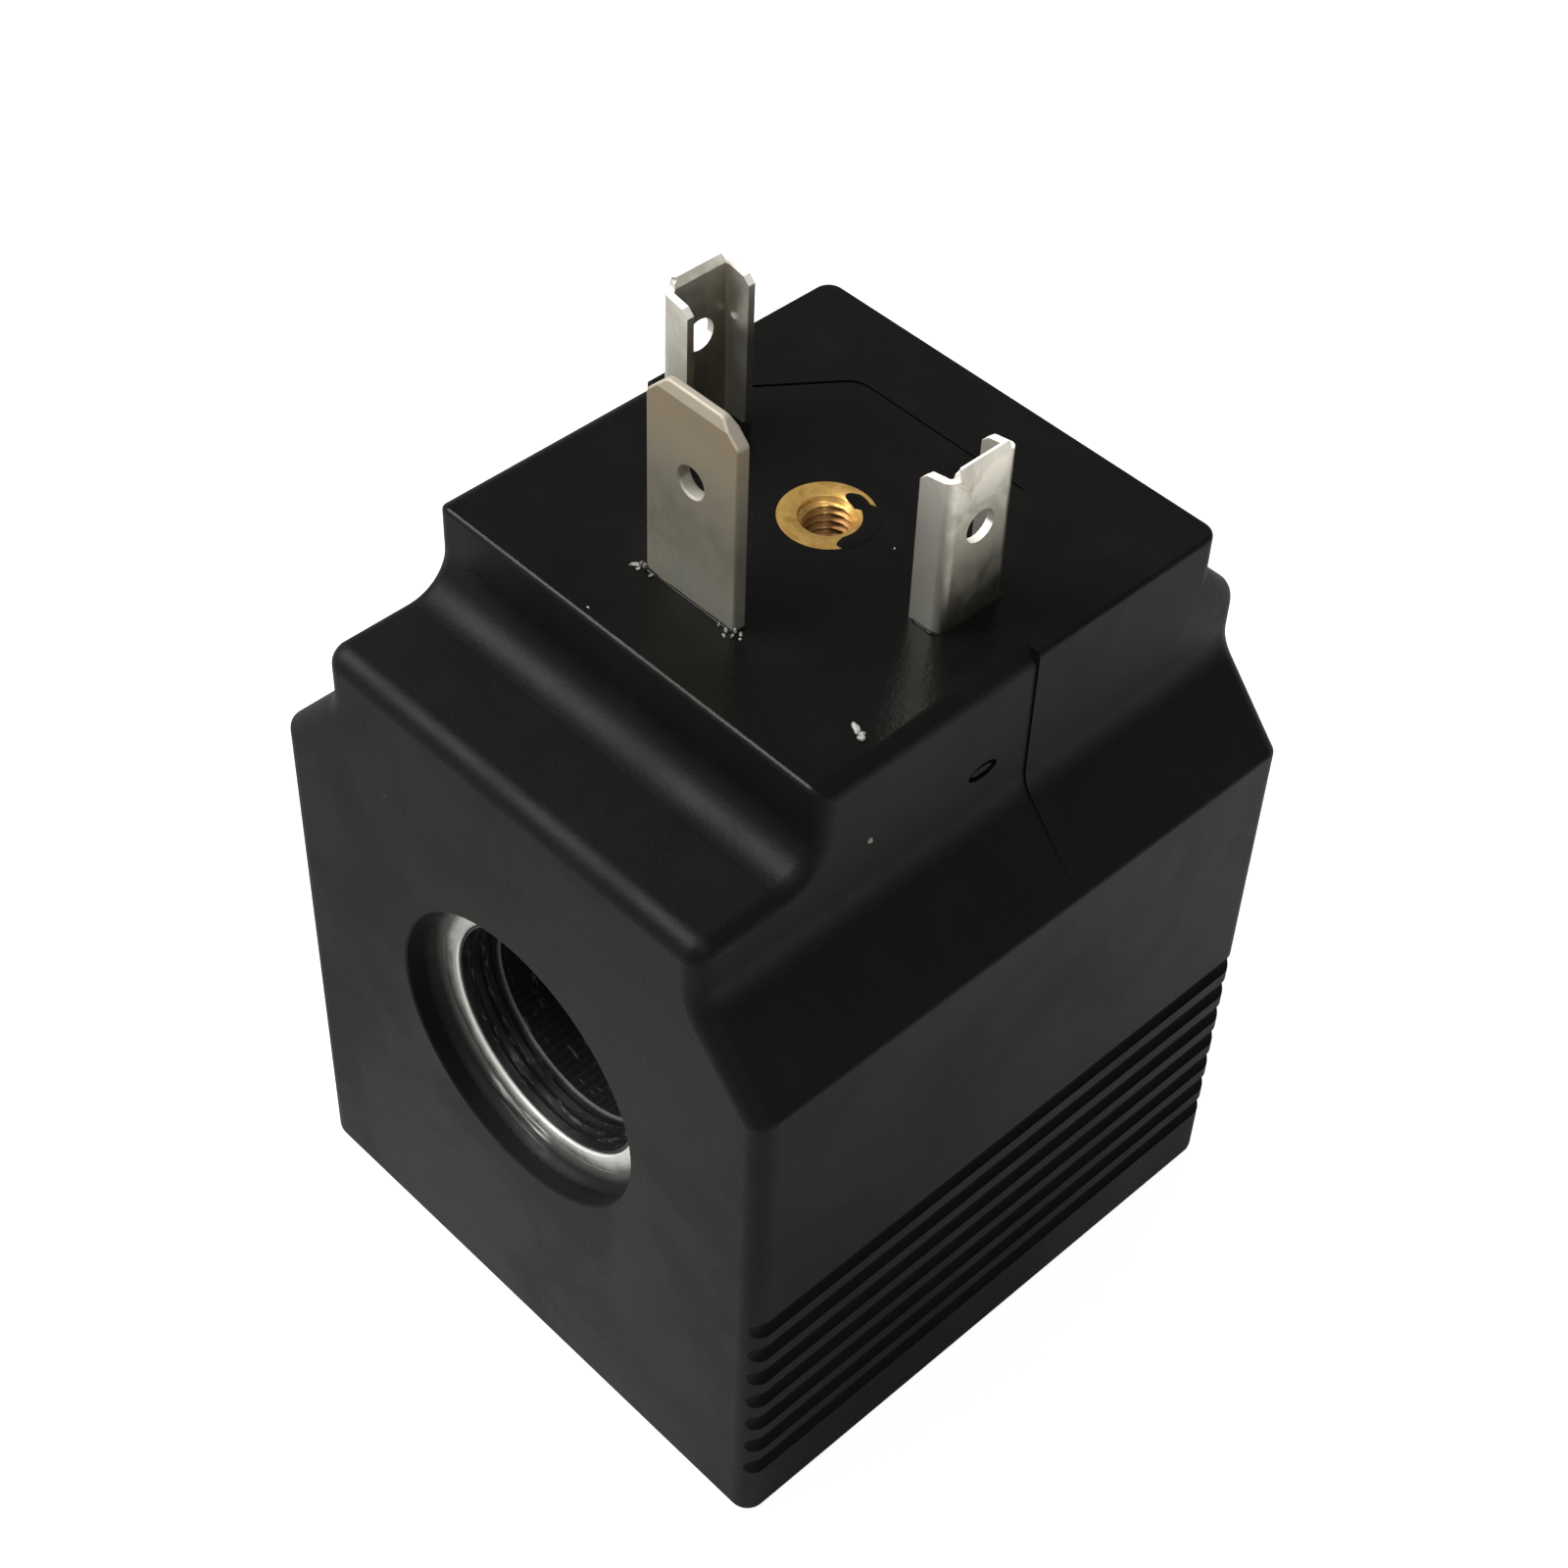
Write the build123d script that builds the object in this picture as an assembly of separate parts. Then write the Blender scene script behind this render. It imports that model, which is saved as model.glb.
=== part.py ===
from build123d import *
import os
from math import cos, radians, sin, sqrt, tan

# Coil for a cartridge solenoid valve, in millimetres.
# +Z points up along the plug contacts, and -Y is the front face, where the valve's stem enters the bore.
# The origin is the centre of the bottom face, midway between the front and rear faces.

# Plug base: the contacts' spacing is standard, and the square base reaches this far past their middles
contact_pitch = 18.0
contact_to_base_edge = 5.0

# Outside of the moulded jacket. Its depth and its heights follow from what it holds, further down.
body_width = 37.2
front_step_run = 7.65
rear_ramp_run = 2.65
shoulder_rise = 5.1
neck_rise = 3.7
plug_base_rise = 5.2
rear_ramp_drop = 2.8
rear_ramp_angle = 45.0

# Rounded edges of the jacket
upright_edge_radius = 1.2
bottom_edge_radius = 0.8
soft_edge_radius = 1.0
crisp_edge_radius = 0.3
step_foot_radius = 2.2
rear_ramp_round = 2.2
shoulder_foot_radius = 2.5
shoulder_edge_radius = 0.4

# Marks that the mould leaves on the jacket
parting_line_offset = 0.55
parting_step = 0.12
gate_mark_length = 2.0
gate_mark_height = 1.0
gate_mark_depth = 0.3
gate_mark_rim = 0.3
gate_core_drop = 0.08
gate_mark_drop = 5.9
gate_mark_offset = 2.7

# Grooves along the two sides
groove_count = 7
groove_pitch = 2.2
groove_width = 1.35
groove_depth = 0.6
lowest_groove_height = 4.9

# Round recess in the front and rear faces, down to the steel
face_recess_radius = 9.1
face_recess_depth = 2.0
face_recess_rim = 0.1

# Steel circuit round the winding
yoke_thickness = 2.4
yoke_bend_radius = 1.2
yoke_side_cover = 1.5
yoke_top_cover = 1.4
yoke_bottom_cover = 3.7
pole_hole_radius = 7.2
pole_hole_chamfer = 0.1
bridge_inset = 0.3
stake_width = 8.0

# Bobbin, winding and its wrap
tube_bore_radius = 6.35
bobbin_wall = 1.35
bobbin_side_wall = 2.2
bobbin_top_gap = 0.2
flange_thickness = 1.5
flange_lip = 0.8
collar_fit = 0.05
collar_setback = 0.15
collar_mouth_land = 0.15
collar_lead_in = 2.2
collar_step = 0.12
collar_ring_count = 3
collar_ring_pitch = 0.6
collar_ring_width = 0.25
tape_thickness = 0.3
lead_slot_width = 1.0
lead_slot_depth = 0.9

# Wires from the winding to the contacts
wire_radius = 0.3
sleeve_radius = 0.6
lead_side_gap = 0.6
lead_turn_radius = 0.9
lead_rise = 0.8
solder_radius = 1.0
sleeve_start_gap = 1.0
sleeve_end_gap = 1.6

# Contact carrier, moulded before the jacket and flush with the plug base's face
carrier_side_wall = 1.3
carrier_rear = 8.9
carrier_front_wall = 1.6
carrier_corner_x = 4.6
carrier_corner_y = 6.2
carrier_corner_radius = 1.5
carrier_seam_depth = 0.22
carrier_seam_rear_gap = 0.12
carrier_seam_side_gap = 0.15

# Line contacts: sheet folded to a channel
pin_sheet = 0.45
pin_depth = 2.0
pin_width = 4.6
pin_bend_radius = 0.6
pin_height = 10.0
pin_bury = 5.0
pin_lead_in = 0.55
pin_tip_flat = 0.15
pin_notch_radius = 0.35
pin_hole_radius = 0.95
pin_hole_drop = 4.2
pin_dimple_radius = 0.3
pin_dimple_height = 6.5
ear_drop = 0.55
ear_fall = 0.3
ear_round = 0.4
tail_height = 1.6
tail_overhang = 0.65

# Earth contact: a flat blade with a foot on the steel bridge
earth_offset = 9.0
earth_width = 6.3
earth_sheet = 0.8
earth_height = 12.4
earth_corner = 1.25
earth_lead_in = 0.6
earth_hole_radius = 0.85
earth_hole_drop = 5.0
earth_foot_length = 7.2
earth_bend_radius = 0.8
earth_edge_round = 0.15
earth_corner_round = 0.5

# Rivet through the foot and the bridge
rivet_offset = 3.6
rivet_radius = 1.0
rivet_head_radius = 1.7
rivet_head_height = 0.6
rivet_sink_depth = 0.6

# Brass insert for the plug's screw
insert_radius = 2.6
insert_length = 4.9
insert_hole_radius = 1.25
insert_mouth_chamfer = 0.3
insert_groove_depth = 0.35
insert_groove_width = 0.9

# Places that follow from the sizes above, from front to rear
plug_base_size = contact_pitch + 2 * contact_to_base_edge
body_depth = front_step_run + plug_base_size + rear_ramp_run
front_y = -body_depth / 2
rear_y = body_depth / 2
body_half = body_width / 2
base_half = plug_base_size / 2
base_front_y = front_y + front_step_run
base_centre_y = base_front_y + base_half
base_rear_y = base_front_y + plug_base_size
parting_y = base_centre_y + parting_line_offset
yoke_half_depth = rear_y - face_recess_depth
window_half_depth = yoke_half_depth - yoke_thickness
yoke_half_width = base_half - yoke_side_cover

# Heights, built up from the bottom face: cover, steel, bobbin, steel, cover, plug base
flange_radius = body_half - bobbin_side_wall
yoke_bottom = yoke_bottom_cover
window_bottom = yoke_bottom + yoke_thickness
bore_height = window_bottom + yoke_bend_radius + flange_radius
window_top = bore_height + flange_radius + bobbin_top_gap
bridge_top = window_top + yoke_thickness
front_step_height = bridge_top + yoke_top_cover
shoulder_top = front_step_height - neck_rise
side_height = shoulder_top - shoulder_rise
plug_base_height = front_step_height + plug_base_rise
rear_ramp_top = plug_base_height - rear_ramp_drop

# Winding, contacts and leads
spool_radius = tube_bore_radius + bobbin_wall
tape_radius = flange_radius - flange_lip
winding_radius = tape_radius - tape_thickness
winding_half_length = window_half_depth - flange_thickness
collar_radius = pole_hole_radius - collar_fit
collar_end_y = yoke_half_depth - collar_setback
pin_x = contact_pitch / 2
pin_outer_x = pin_x + pin_depth / 2
pin_inner_x = pin_x - pin_depth / 2
carrier_half_width = pin_outer_x + carrier_side_wall
bridge_half_width = carrier_half_width - bridge_inset
pin_front_y = base_centre_y - pin_width / 2
pin_rear_y = base_centre_y + pin_width / 2
pin_bottom = plug_base_height - pin_bury
pin_top = plug_base_height + pin_height
tail_top = pin_bottom + tail_height
lead_x = bridge_half_width + lead_side_gap + sleeve_radius
lead_y = winding_half_length + wire_radius
tail_rear_y = lead_y + tail_overhang
lead_top = pin_bottom + lead_rise
lead_crossing_z = bore_height + sqrt((flange_radius + lead_rise) ** 2 - lead_x ** 2)
carrier_front = earth_offset + carrier_front_wall
earth_y = base_centre_y - earth_offset
earth_top = plug_base_height + earth_height
foot_top = bridge_top + earth_sheet
insert_bottom = plug_base_height - insert_length
rivet_y = earth_y + rivet_offset
overrun = 1.0


def box_between(low, high):
    """A box given by its lowest and highest corners."""
    size = [b - a for a, b in zip(low, high)]
    middle = [(a + b) / 2 for a, b in zip(low, high)]
    return Pos(*middle) * Box(*size)


def rod_along_y(radius, low_y, high_y, x=0.0, z=bore_height):
    """A cylinder that runs the same way as the bore."""
    return Pos(x, (low_y + high_y) / 2, z) * Rot(-90, 0, 0) * Cylinder(radius, high_y - low_y)


def rod_along_x(radius, low_x, high_x, y, z):
    """A cylinder that runs from side to side."""
    return Pos((low_x + high_x) / 2, y, z) * Rot(0, 90, 0) * Cylinder(radius, high_x - low_x)


def cone_along_y(low_radius, high_radius, low_y, high_y):
    """A cone on the bore's axis, with its radius at its low and high Y."""
    place = Pos(0, (low_y + high_y) / 2, bore_height) * Rot(-90, 0, 0)
    return place * Cone(low_radius, high_radius, high_y - low_y)


def tube_along_y(outer, inner, low_y, high_y):
    """A tube on the bore's axis."""
    return rod_along_y(outer, low_y, high_y) - rod_along_y(inner, low_y - overrun, high_y + overrun)


def rod_upright(radius, x, y, low_z, high_z):
    """An upright cylinder."""
    return Pos(x, y, (low_z + high_z) / 2) * Cylinder(radius, high_z - low_z)


def outline_face(corners, rounded=()):
    """A flat face through the corners. Each entry of rounded is a corner's place and its radius."""
    face = make_face(Polyline(*corners, close=True).edges()).face()
    for place, radius in rounded:
        face = face.fillet_2d(radius, [face.vertices().sort_by_distance(place)[0]])
    return face


def prism_along_x(corners, low_x, high_x, rounded=()):
    """An outline given in Y and Z, carried along X."""
    face = outline_face([(low_x, y, z) for y, z in corners], [((low_x, y, z), r) for (y, z), r in rounded])
    return extrude(face, amount=high_x - low_x, dir=(1, 0, 0))


def prism_along_y(corners, low_y, high_y, rounded=()):
    """An outline given in X and Z, carried along Y."""
    face = outline_face([(x, low_y, z) for x, z in corners], [((x, low_y, z), r) for (x, z), r in rounded])
    return extrude(face, amount=high_y - low_y, dir=(0, 1, 0))


def prism_along_z(corners, low_z, high_z, rounded=()):
    """An outline given in X and Y, carried along Z."""
    face = outline_face([(x, y, low_z) for x, y in corners], [((x, y, low_z), r) for (x, y), r in rounded])
    return extrude(face, amount=high_z - low_z, dir=(0, 0, 1))


def mirrored(points):
    """Points on the +X side, then the same points in turn on the -X side, so that they close to one loop."""
    return points + [(-x, other) for x, other in reversed(points)]


def largest_solid(shape):
    """The one solid that a piece consists of."""
    return max(shape.solids(), key=lambda solid: solid.volume)


def lies_at(edge, axis, value):
    """True where the whole edge lies in the plane at this value of the axis."""
    return all(abs(getattr(edge @ t, axis) - value) < 0.001 for t in (0, 0.5, 1))


def runs_across(edge):
    """True for an edge that runs from side to side."""
    return abs((edge @ 0).X - (edge @ 1).X) > plug_base_size / 2


def lower_body(half_width):
    """Upright sides, then shoulders that slope in to the neck with a hollow curve at their foot."""
    corners = mirrored([
        (body_half, 0), (body_half, side_height),
        (half_width, shoulder_top), (half_width, shoulder_top + shoulder_foot_radius),
    ])
    rounded = []
    for side in (-1, 1):
        rounded.append(((side * half_width, shoulder_top), shoulder_foot_radius))
        rounded.append(((side * body_half, side_height), shoulder_edge_radius))
    return prism_along_y(corners, front_y, rear_y, rounded)


def neck(half_width):
    """Front step, square plug base and rear ramp, as one side view carried across."""
    ramp_foot = rear_ramp_top - (rear_y - base_rear_y) * tan(radians(rear_ramp_angle))
    corners = [
        (front_y, shoulder_top), (rear_y, shoulder_top), (rear_y, ramp_foot), (base_rear_y, rear_ramp_top),
        (base_rear_y, plug_base_height), (base_front_y, plug_base_height),
        (base_front_y, front_step_height), (front_y, front_step_height),
    ]
    rounded = [((base_front_y, front_step_height), step_foot_radius), ((rear_y, ramp_foot), rear_ramp_round)]
    return prism_along_x(corners, -half_width, half_width, rounded)


def jacket_blank(half_width, rim_radius):
    """The jacket's outer form. rim_radius rounds the long upper edges of the neck and the plug base."""
    blank = largest_solid(lower_body(half_width) + neck(half_width))
    base_uprights = [
        edge for edge in blank.edges()
        if lies_at(edge, "Y", base_rear_y) and not runs_across(edge)
    ]
    ramp_sides = [
        edge for edge in blank.edges()
        if (lies_at(edge, "X", half_width) or lies_at(edge, "X", -half_width))
        and (edge @ 0.5).Y > base_rear_y and abs((edge @ 0).Y - (edge @ 1).Y) > crisp_edge_radius
    ]
    blank = blank.fillet(soft_edge_radius, base_uprights + ramp_sides)
    ends = [
        edge for edge in blank.edges()
        if (lies_at(edge, "Y", front_y) or (lies_at(edge, "Y", rear_y) and not runs_across(edge)))
        and not lies_at(edge, "Z", 0)
    ]
    blank = blank.fillet(upright_edge_radius, ends)
    blank = blank.fillet(bottom_edge_radius, [edge for edge in blank.edges() if lies_at(edge, "Z", 0)])
    side_edges = [
        edge for edge in blank.edges()
        if (lies_at(edge, "X", half_width) or lies_at(edge, "X", -half_width))
        and (edge @ 0.5).Z > front_step_height - step_foot_radius / 2
        and (edge @ 0.5).Y < base_rear_y - soft_edge_radius
    ]
    return blank.fillet(rim_radius, side_edges)


def soften_front_rim(blank):
    """Rounds the plug base's front upper edge a little, where the photo shows a fine light line."""
    front_rim = [
        edge for edge in blank.edges()
        if lies_at(edge, "Y", base_front_y) and lies_at(edge, "Z", plug_base_height)
    ]
    return blank.fillet(crisp_edge_radius, front_rim)


def jacket_outside():
    """Both halves of the mould: the rear half stands slightly proud, and its edges are crisper."""
    front_half = soften_front_rim(jacket_blank(base_half, soft_edge_radius))
    rear_half = jacket_blank(base_half + parting_step, crisp_edge_radius)
    reach = body_width + body_depth + earth_top
    front_space = box_between((-reach, -reach, -reach), (reach, parting_y, reach))
    rear_space = box_between((-reach, parting_y, -reach), (reach, reach, reach))
    return largest_solid((front_half & front_space) + (rear_half & rear_space))


def side_grooves():
    """Half-round grooves along both side walls."""
    chord_half = groove_width / 2
    round_radius = (chord_half ** 2 + groove_depth ** 2) / (2 * groove_depth)
    centre_x = body_half - groove_depth + round_radius
    grooves = []
    for number in range(groove_count):
        height = lowest_groove_height + number * groove_pitch
        for side in (-1, 1):
            groove = rod_along_y(round_radius, front_y - overrun, rear_y + overrun, side * centre_x, height)
            grooves.append(groove)
    return grooves


def gate_mark():
    """Oval ditch round a low core on the right wall of the neck, where the resin entered the mould."""
    gate_mark_z = plug_base_height - gate_mark_drop
    oval_plane = Plane(
        origin=(base_half - gate_mark_depth, base_centre_y - gate_mark_offset, gate_mark_z),
        x_dir=(0, 1, 0),
        z_dir=(1, 0, 0),
    )
    oval = oval_plane * Ellipse(gate_mark_length / 2, gate_mark_height / 2)
    core = oval_plane * Ellipse(gate_mark_length / 2 - gate_mark_rim, gate_mark_height / 2 - gate_mark_rim)
    ditch = extrude(oval, amount=gate_mark_depth + overrun)
    return ditch - extrude(core, amount=gate_mark_depth - gate_core_drop)


def face_recesses():
    """The same round recess at both ends of the bore, with a softened rim and no resin in the pole holes."""
    cuts = [rod_along_y(pole_hole_radius + pole_hole_chamfer, front_y - overrun, rear_y + overrun)]
    rim_reach = face_recess_radius + face_recess_rim
    cuts.append(rod_along_y(face_recess_radius, front_y - overrun, front_y + face_recess_depth))
    cuts.append(rod_along_y(face_recess_radius, rear_y - face_recess_depth, rear_y + overrun))
    cuts.append(cone_along_y(rim_reach, face_recess_radius, front_y, front_y + face_recess_rim))
    cuts.append(cone_along_y(face_recess_radius, rim_reach, rear_y - face_recess_rim, rear_y))
    return cuts


def make_yoke_frame():
    """One steel strip, bent to a U that stands open at the top, with a pole hole in each upright."""
    outer = yoke_half_depth
    inner = window_half_depth
    corners = [
        (-outer, bridge_top), (-outer, yoke_bottom), (outer, yoke_bottom), (outer, bridge_top),
        (inner, bridge_top), (inner, window_bottom), (-inner, window_bottom), (-inner, bridge_top),
    ]
    rounded = []
    for side in (-1, 1):
        rounded.append(((side * outer, yoke_bottom), yoke_bend_radius + yoke_thickness))
        rounded.append(((side * inner, window_bottom), yoke_bend_radius))
    frame = prism_along_x(corners, -yoke_half_width, yoke_half_width, rounded)
    frame -= rod_along_y(pole_hole_radius, -outer - overrun, outer + overrun)
    mouth_radius = pole_hole_radius + pole_hole_chamfer
    frame -= cone_along_y(mouth_radius, pole_hole_radius, -outer, -outer + pole_hole_chamfer)
    frame -= cone_along_y(pole_hole_radius, mouth_radius, outer - pole_hole_chamfer, outer)
    stake_half = stake_width / 2
    stake_low = (-stake_half, -outer - overrun, window_top)
    stake_high = (stake_half, outer + overrun, bridge_top + overrun)
    return largest_solid(frame - box_between(stake_low, stake_high))


def make_ground_rivet():
    """Head on the earth contact's foot, shank through the bridge, lower end spread in a countersink."""
    head_top = foot_top + rivet_head_height
    rivet = rod_upright(rivet_radius, 0, rivet_y, window_top, foot_top)
    rivet += rod_upright(rivet_head_radius, 0, rivet_y, foot_top, head_top)
    head_edge = [edge for edge in rivet.edges() if lies_at(edge, "Z", head_top)]
    rivet = largest_solid(rivet).fillet(rivet_head_height / 2, head_edge)
    spread = Cone(rivet_radius + rivet_sink_depth, rivet_radius, rivet_sink_depth)
    return largest_solid(rivet + Pos(0, rivet_y, window_top + rivet_sink_depth / 2) * spread)


def make_yoke_bridge(rivet):
    """Steel plate that closes the U at the top, with a tab staked into each upright."""
    plate_corner = (bridge_half_width, window_half_depth, bridge_top)
    tab_corner = (stake_width / 2, yoke_half_depth, bridge_top)
    bridge = box_between((-bridge_half_width, -window_half_depth, window_top), plate_corner)
    bridge += box_between((-stake_width / 2, -yoke_half_depth, window_top), tab_corner)
    return largest_solid(bridge - rivet)


def lead_direction():
    """Unit step in X and Z from the bore's axis towards the place where a lead turns upwards."""
    reach = flange_radius + lead_rise
    return lead_x / reach, (lead_crossing_z - bore_height) / reach


def lead_slot(side):
    """Slot in the rear flange's inner face, in which a lead runs out from the winding."""
    along_x, along_z = lead_direction()
    half = lead_slot_width / 2
    inner_end = spool_radius
    outer_end = flange_radius + overrun
    corners = []
    for reach, offset in ((inner_end, -half), (outer_end, -half), (outer_end, half), (inner_end, half)):
        x = along_x * reach - along_z * offset
        z = along_z * reach + along_x * offset
        corners.append((side * x, bore_height + z))
    return prism_along_y(corners, winding_half_length, winding_half_length + lead_slot_depth)


def collar_mouth(side):
    """Lead-in for the valve's tube: a cone with fine turned rings, ending in a small step at the bore."""
    mouth_radius = collar_radius - collar_mouth_land
    foot_radius = tube_bore_radius + collar_step
    foot_y = collar_end_y - collar_lead_in
    mouth = cone_along_y(foot_radius, mouth_radius, foot_y, collar_end_y)
    for number in range(collar_ring_count):
        low_y = foot_y + collar_ring_pitch * (number + 0.5)
        local_radius = foot_radius + (mouth_radius - foot_radius) * (low_y - foot_y) / collar_lead_in
        mouth += rod_along_y(local_radius + collar_step, low_y, low_y + collar_ring_width)
    return mouth if side > 0 else mirror(mouth, about=Plane.XZ)


def make_bobbin():
    """Spool for the winding: its bore holds the valve's tube, and its thin collars line the pole holes."""
    bobbin = rod_along_y(spool_radius, -window_half_depth, window_half_depth)
    bobbin += rod_along_y(collar_radius, -collar_end_y, collar_end_y)
    bobbin += rod_along_y(flange_radius, -window_half_depth, -winding_half_length)
    bobbin += rod_along_y(flange_radius, winding_half_length, window_half_depth)
    bobbin -= rod_along_y(tube_bore_radius, -rear_y, rear_y)
    for side in (-1, 1):
        bobbin -= lead_slot(side)
        bobbin -= collar_mouth(side)
    return largest_solid(bobbin)


def make_winding():
    """The copper coil, as one body."""
    coil = tube_along_y(winding_radius, spool_radius, -winding_half_length, winding_half_length)
    return largest_solid(coil)


def make_winding_tape():
    """Insulating tape round the coil."""
    wrap = tube_along_y(tape_radius, winding_radius, -winding_half_length, winding_half_length)
    return largest_solid(wrap)


def make_lead(side, start_radius):
    """Wire in the flange's slot, then up beside the bridge, then in to the contact's tail."""
    along_x, along_z = lead_direction()
    path = FilletPolyline(
        (side * along_x * start_radius, lead_y, bore_height + along_z * start_radius),
        (side * lead_x, lead_y, lead_crossing_z),
        (side * lead_x, lead_y, lead_top),
        (side * pin_outer_x, lead_y, lead_top),
        radius=lead_turn_radius,
    )
    section = Plane(origin=path @ 0, z_dir=path % 0) * Circle(wire_radius)
    return largest_solid(sweep(section, path=path))


def make_sleeve(side):
    """Insulating tube over the upright part of a lead."""
    low_z = lead_crossing_z + sleeve_start_gap
    high_z = lead_top - sleeve_end_gap
    sleeve = rod_upright(sleeve_radius, side * lead_x, lead_y, low_z, high_z)
    sleeve -= rod_upright(wire_radius, side * lead_x, lead_y, low_z - overrun, high_z + overrun)
    return largest_solid(sleeve)


def make_solder(side, lead, terminal):
    """Bead that joins a lead to its contact's tail."""
    bead = Pos(side * pin_outer_x, lead_y, lead_top) * Sphere(solder_radius)
    return largest_solid(bead - lead - terminal)


def make_line_terminal():
    """The +X contact: a channel of folded sheet, open towards the middle, with a flat tail at its foot."""
    inner_face_x = pin_outer_x - pin_sheet
    corners = [
        (pin_inner_x, pin_front_y), (pin_outer_x, pin_front_y),
        (pin_outer_x, pin_rear_y), (pin_inner_x, pin_rear_y),
        (pin_inner_x, pin_rear_y - pin_sheet), (inner_face_x, pin_rear_y - pin_sheet),
        (inner_face_x, pin_front_y + pin_sheet), (pin_inner_x, pin_front_y + pin_sheet),
    ]
    rounded = []
    for y in (pin_front_y, pin_rear_y):
        rounded.append(((pin_outer_x, y), pin_bend_radius))
    for y in (pin_front_y + pin_sheet, pin_rear_y - pin_sheet):
        rounded.append(((inner_face_x, y), pin_bend_radius - pin_sheet))
    channel = prism_along_z(corners, tail_top, pin_top, rounded)
    web_front = pin_front_y + pin_bend_radius
    channel += box_between((inner_face_x, web_front, pin_bottom), (pin_outer_x, tail_rear_y, tail_top))
    hole_z = pin_top - pin_hole_drop
    channel -= rod_along_x(pin_hole_radius, pin_inner_x, pin_outer_x + overrun, base_centre_y, hole_z)
    for bevel in contact_tip_bevels(inner_face_x):
        channel -= bevel
    for y, turn in ((pin_front_y, 1), (pin_rear_y, -1)):
        channel -= ear_slope(y, turn)
        channel -= fold_notch(y, turn)
    dimple_z = plug_base_height + pin_dimple_height
    channel -= Pos(pin_x, pin_rear_y - pin_sheet, dimple_z) * Sphere(pin_dimple_radius)
    return largest_solid(channel)


def contact_tip_bevels(inner_face_x):
    """Coined bevels on both faces of the web, which thin the tip so that it enters the plug."""
    bevel_foot = pin_top - pin_lead_in
    middle_x = (inner_face_x + pin_outer_x) / 2
    bevels = []
    for face_x, turn in ((inner_face_x, -1), (pin_outer_x, 1)):
        tip_x = middle_x + turn * pin_tip_flat / 2
        corners = [
            (face_x, bevel_foot), (face_x + turn * overrun, bevel_foot),
            (face_x + turn * overrun, pin_top + overrun), (tip_x, pin_top + overrun), (tip_x, pin_top),
        ]
        bevels.append(prism_along_y(corners, pin_front_y + pin_bend_radius, pin_rear_y - pin_bend_radius))
    return bevels


def ear_slope(outer_y, turn):
    """Cut that lowers a flange's top and slopes it down to the free edge."""
    low_z = pin_top - ear_drop - ear_fall
    high_z = pin_top - ear_drop
    corners = [
        (pin_inner_x - overrun, pin_top + overrun), (pin_inner_x - overrun, low_z - ear_round),
        (pin_inner_x, low_z - ear_round), (pin_inner_x + ear_round, low_z),
        (pin_outer_x, high_z), (pin_outer_x + overrun, high_z), (pin_outer_x + overrun, pin_top + overrun),
    ]
    inner_y = outer_y + turn * pin_bend_radius
    outside_y = outer_y - turn * overrun
    return prism_along_y(corners, min(inner_y, outside_y), max(inner_y, outside_y))


def fold_notch(outer_y, turn):
    """Small round notch in a fold's top, left by the bend."""
    centre = pin_bend_radius * (1 - cos(radians(45)))
    place = Pos(pin_outer_x - centre, outer_y + turn * centre, pin_top) * Rot(0, 0, -45 * turn)
    return place * Rot(0, 90, 0) * Cylinder(pin_notch_radius, 2 * pin_bend_radius + overrun)


def make_ground_terminal(rivet):
    """Flat blade with cut corners and a thinned tip, bent to a foot that the rivet holds on the bridge."""
    front = earth_y - earth_sheet / 2
    rear = earth_y + earth_sheet / 2
    foot_end = front + earth_foot_length
    corners = [
        (front, bridge_top), (foot_end, bridge_top), (foot_end, foot_top), (rear, foot_top),
        (rear, earth_top - earth_lead_in), (rear - earth_sheet / 4, earth_top),
        (front + earth_sheet / 4, earth_top), (front, earth_top - earth_lead_in),
    ]
    rounded = [
        ((front, bridge_top), earth_bend_radius + earth_sheet),
        ((rear, foot_top), earth_bend_radius),
    ]
    half = earth_width / 2
    blade = prism_along_x(corners, -half, half, rounded) & earth_outline(front, foot_end)
    blade -= rod_along_y(earth_hole_radius, front - overrun, rear + overrun, 0, earth_top - earth_hole_drop)
    rim_edges = [edge for edge in blade.edges() if (edge @ 0.5).Z > plug_base_height]
    blade = largest_solid(blade).fillet(earth_edge_round, rim_edges)
    return largest_solid(blade - rivet)


def earth_outline(low_y, high_y):
    """The blade's outline seen from the front, with its two cut corners, as a long prism."""
    half = earth_width / 2
    side_points = [
        (half, bridge_top), (half, earth_top - earth_corner), (half - earth_corner, earth_top),
    ]
    rounded = []
    for side in (-1, 1):
        rounded.append(((side * half, earth_top - earth_corner), earth_corner_round))
        rounded.append(((side * (half - earth_corner), earth_top), earth_corner_round))
    return prism_along_y(mirrored(side_points), low_y, high_y, rounded)


def make_thread_insert():
    """Brass bush flush with the face, with a groove that keys it in the carrier."""
    bush = rod_upright(insert_radius, 0, base_centre_y, insert_bottom, plug_base_height)
    hole_bottom = insert_bottom - overrun
    bush -= rod_upright(insert_hole_radius, 0, base_centre_y, hole_bottom, plug_base_height + overrun)
    mouth = Cone(insert_hole_radius, insert_hole_radius + insert_mouth_chamfer, insert_mouth_chamfer)
    bush -= Pos(0, base_centre_y, plug_base_height - insert_mouth_chamfer / 2) * mouth
    middle_z = plug_base_height - insert_length / 2
    groove_low = middle_z - insert_groove_width / 2
    groove_high = middle_z + insert_groove_width / 2
    ring = rod_upright(insert_radius + overrun, 0, base_centre_y, groove_low, groove_high)
    ring -= rod_upright(insert_radius - insert_groove_depth, 0, base_centre_y, groove_low, groove_high)
    return largest_solid(bush - ring)


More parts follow.
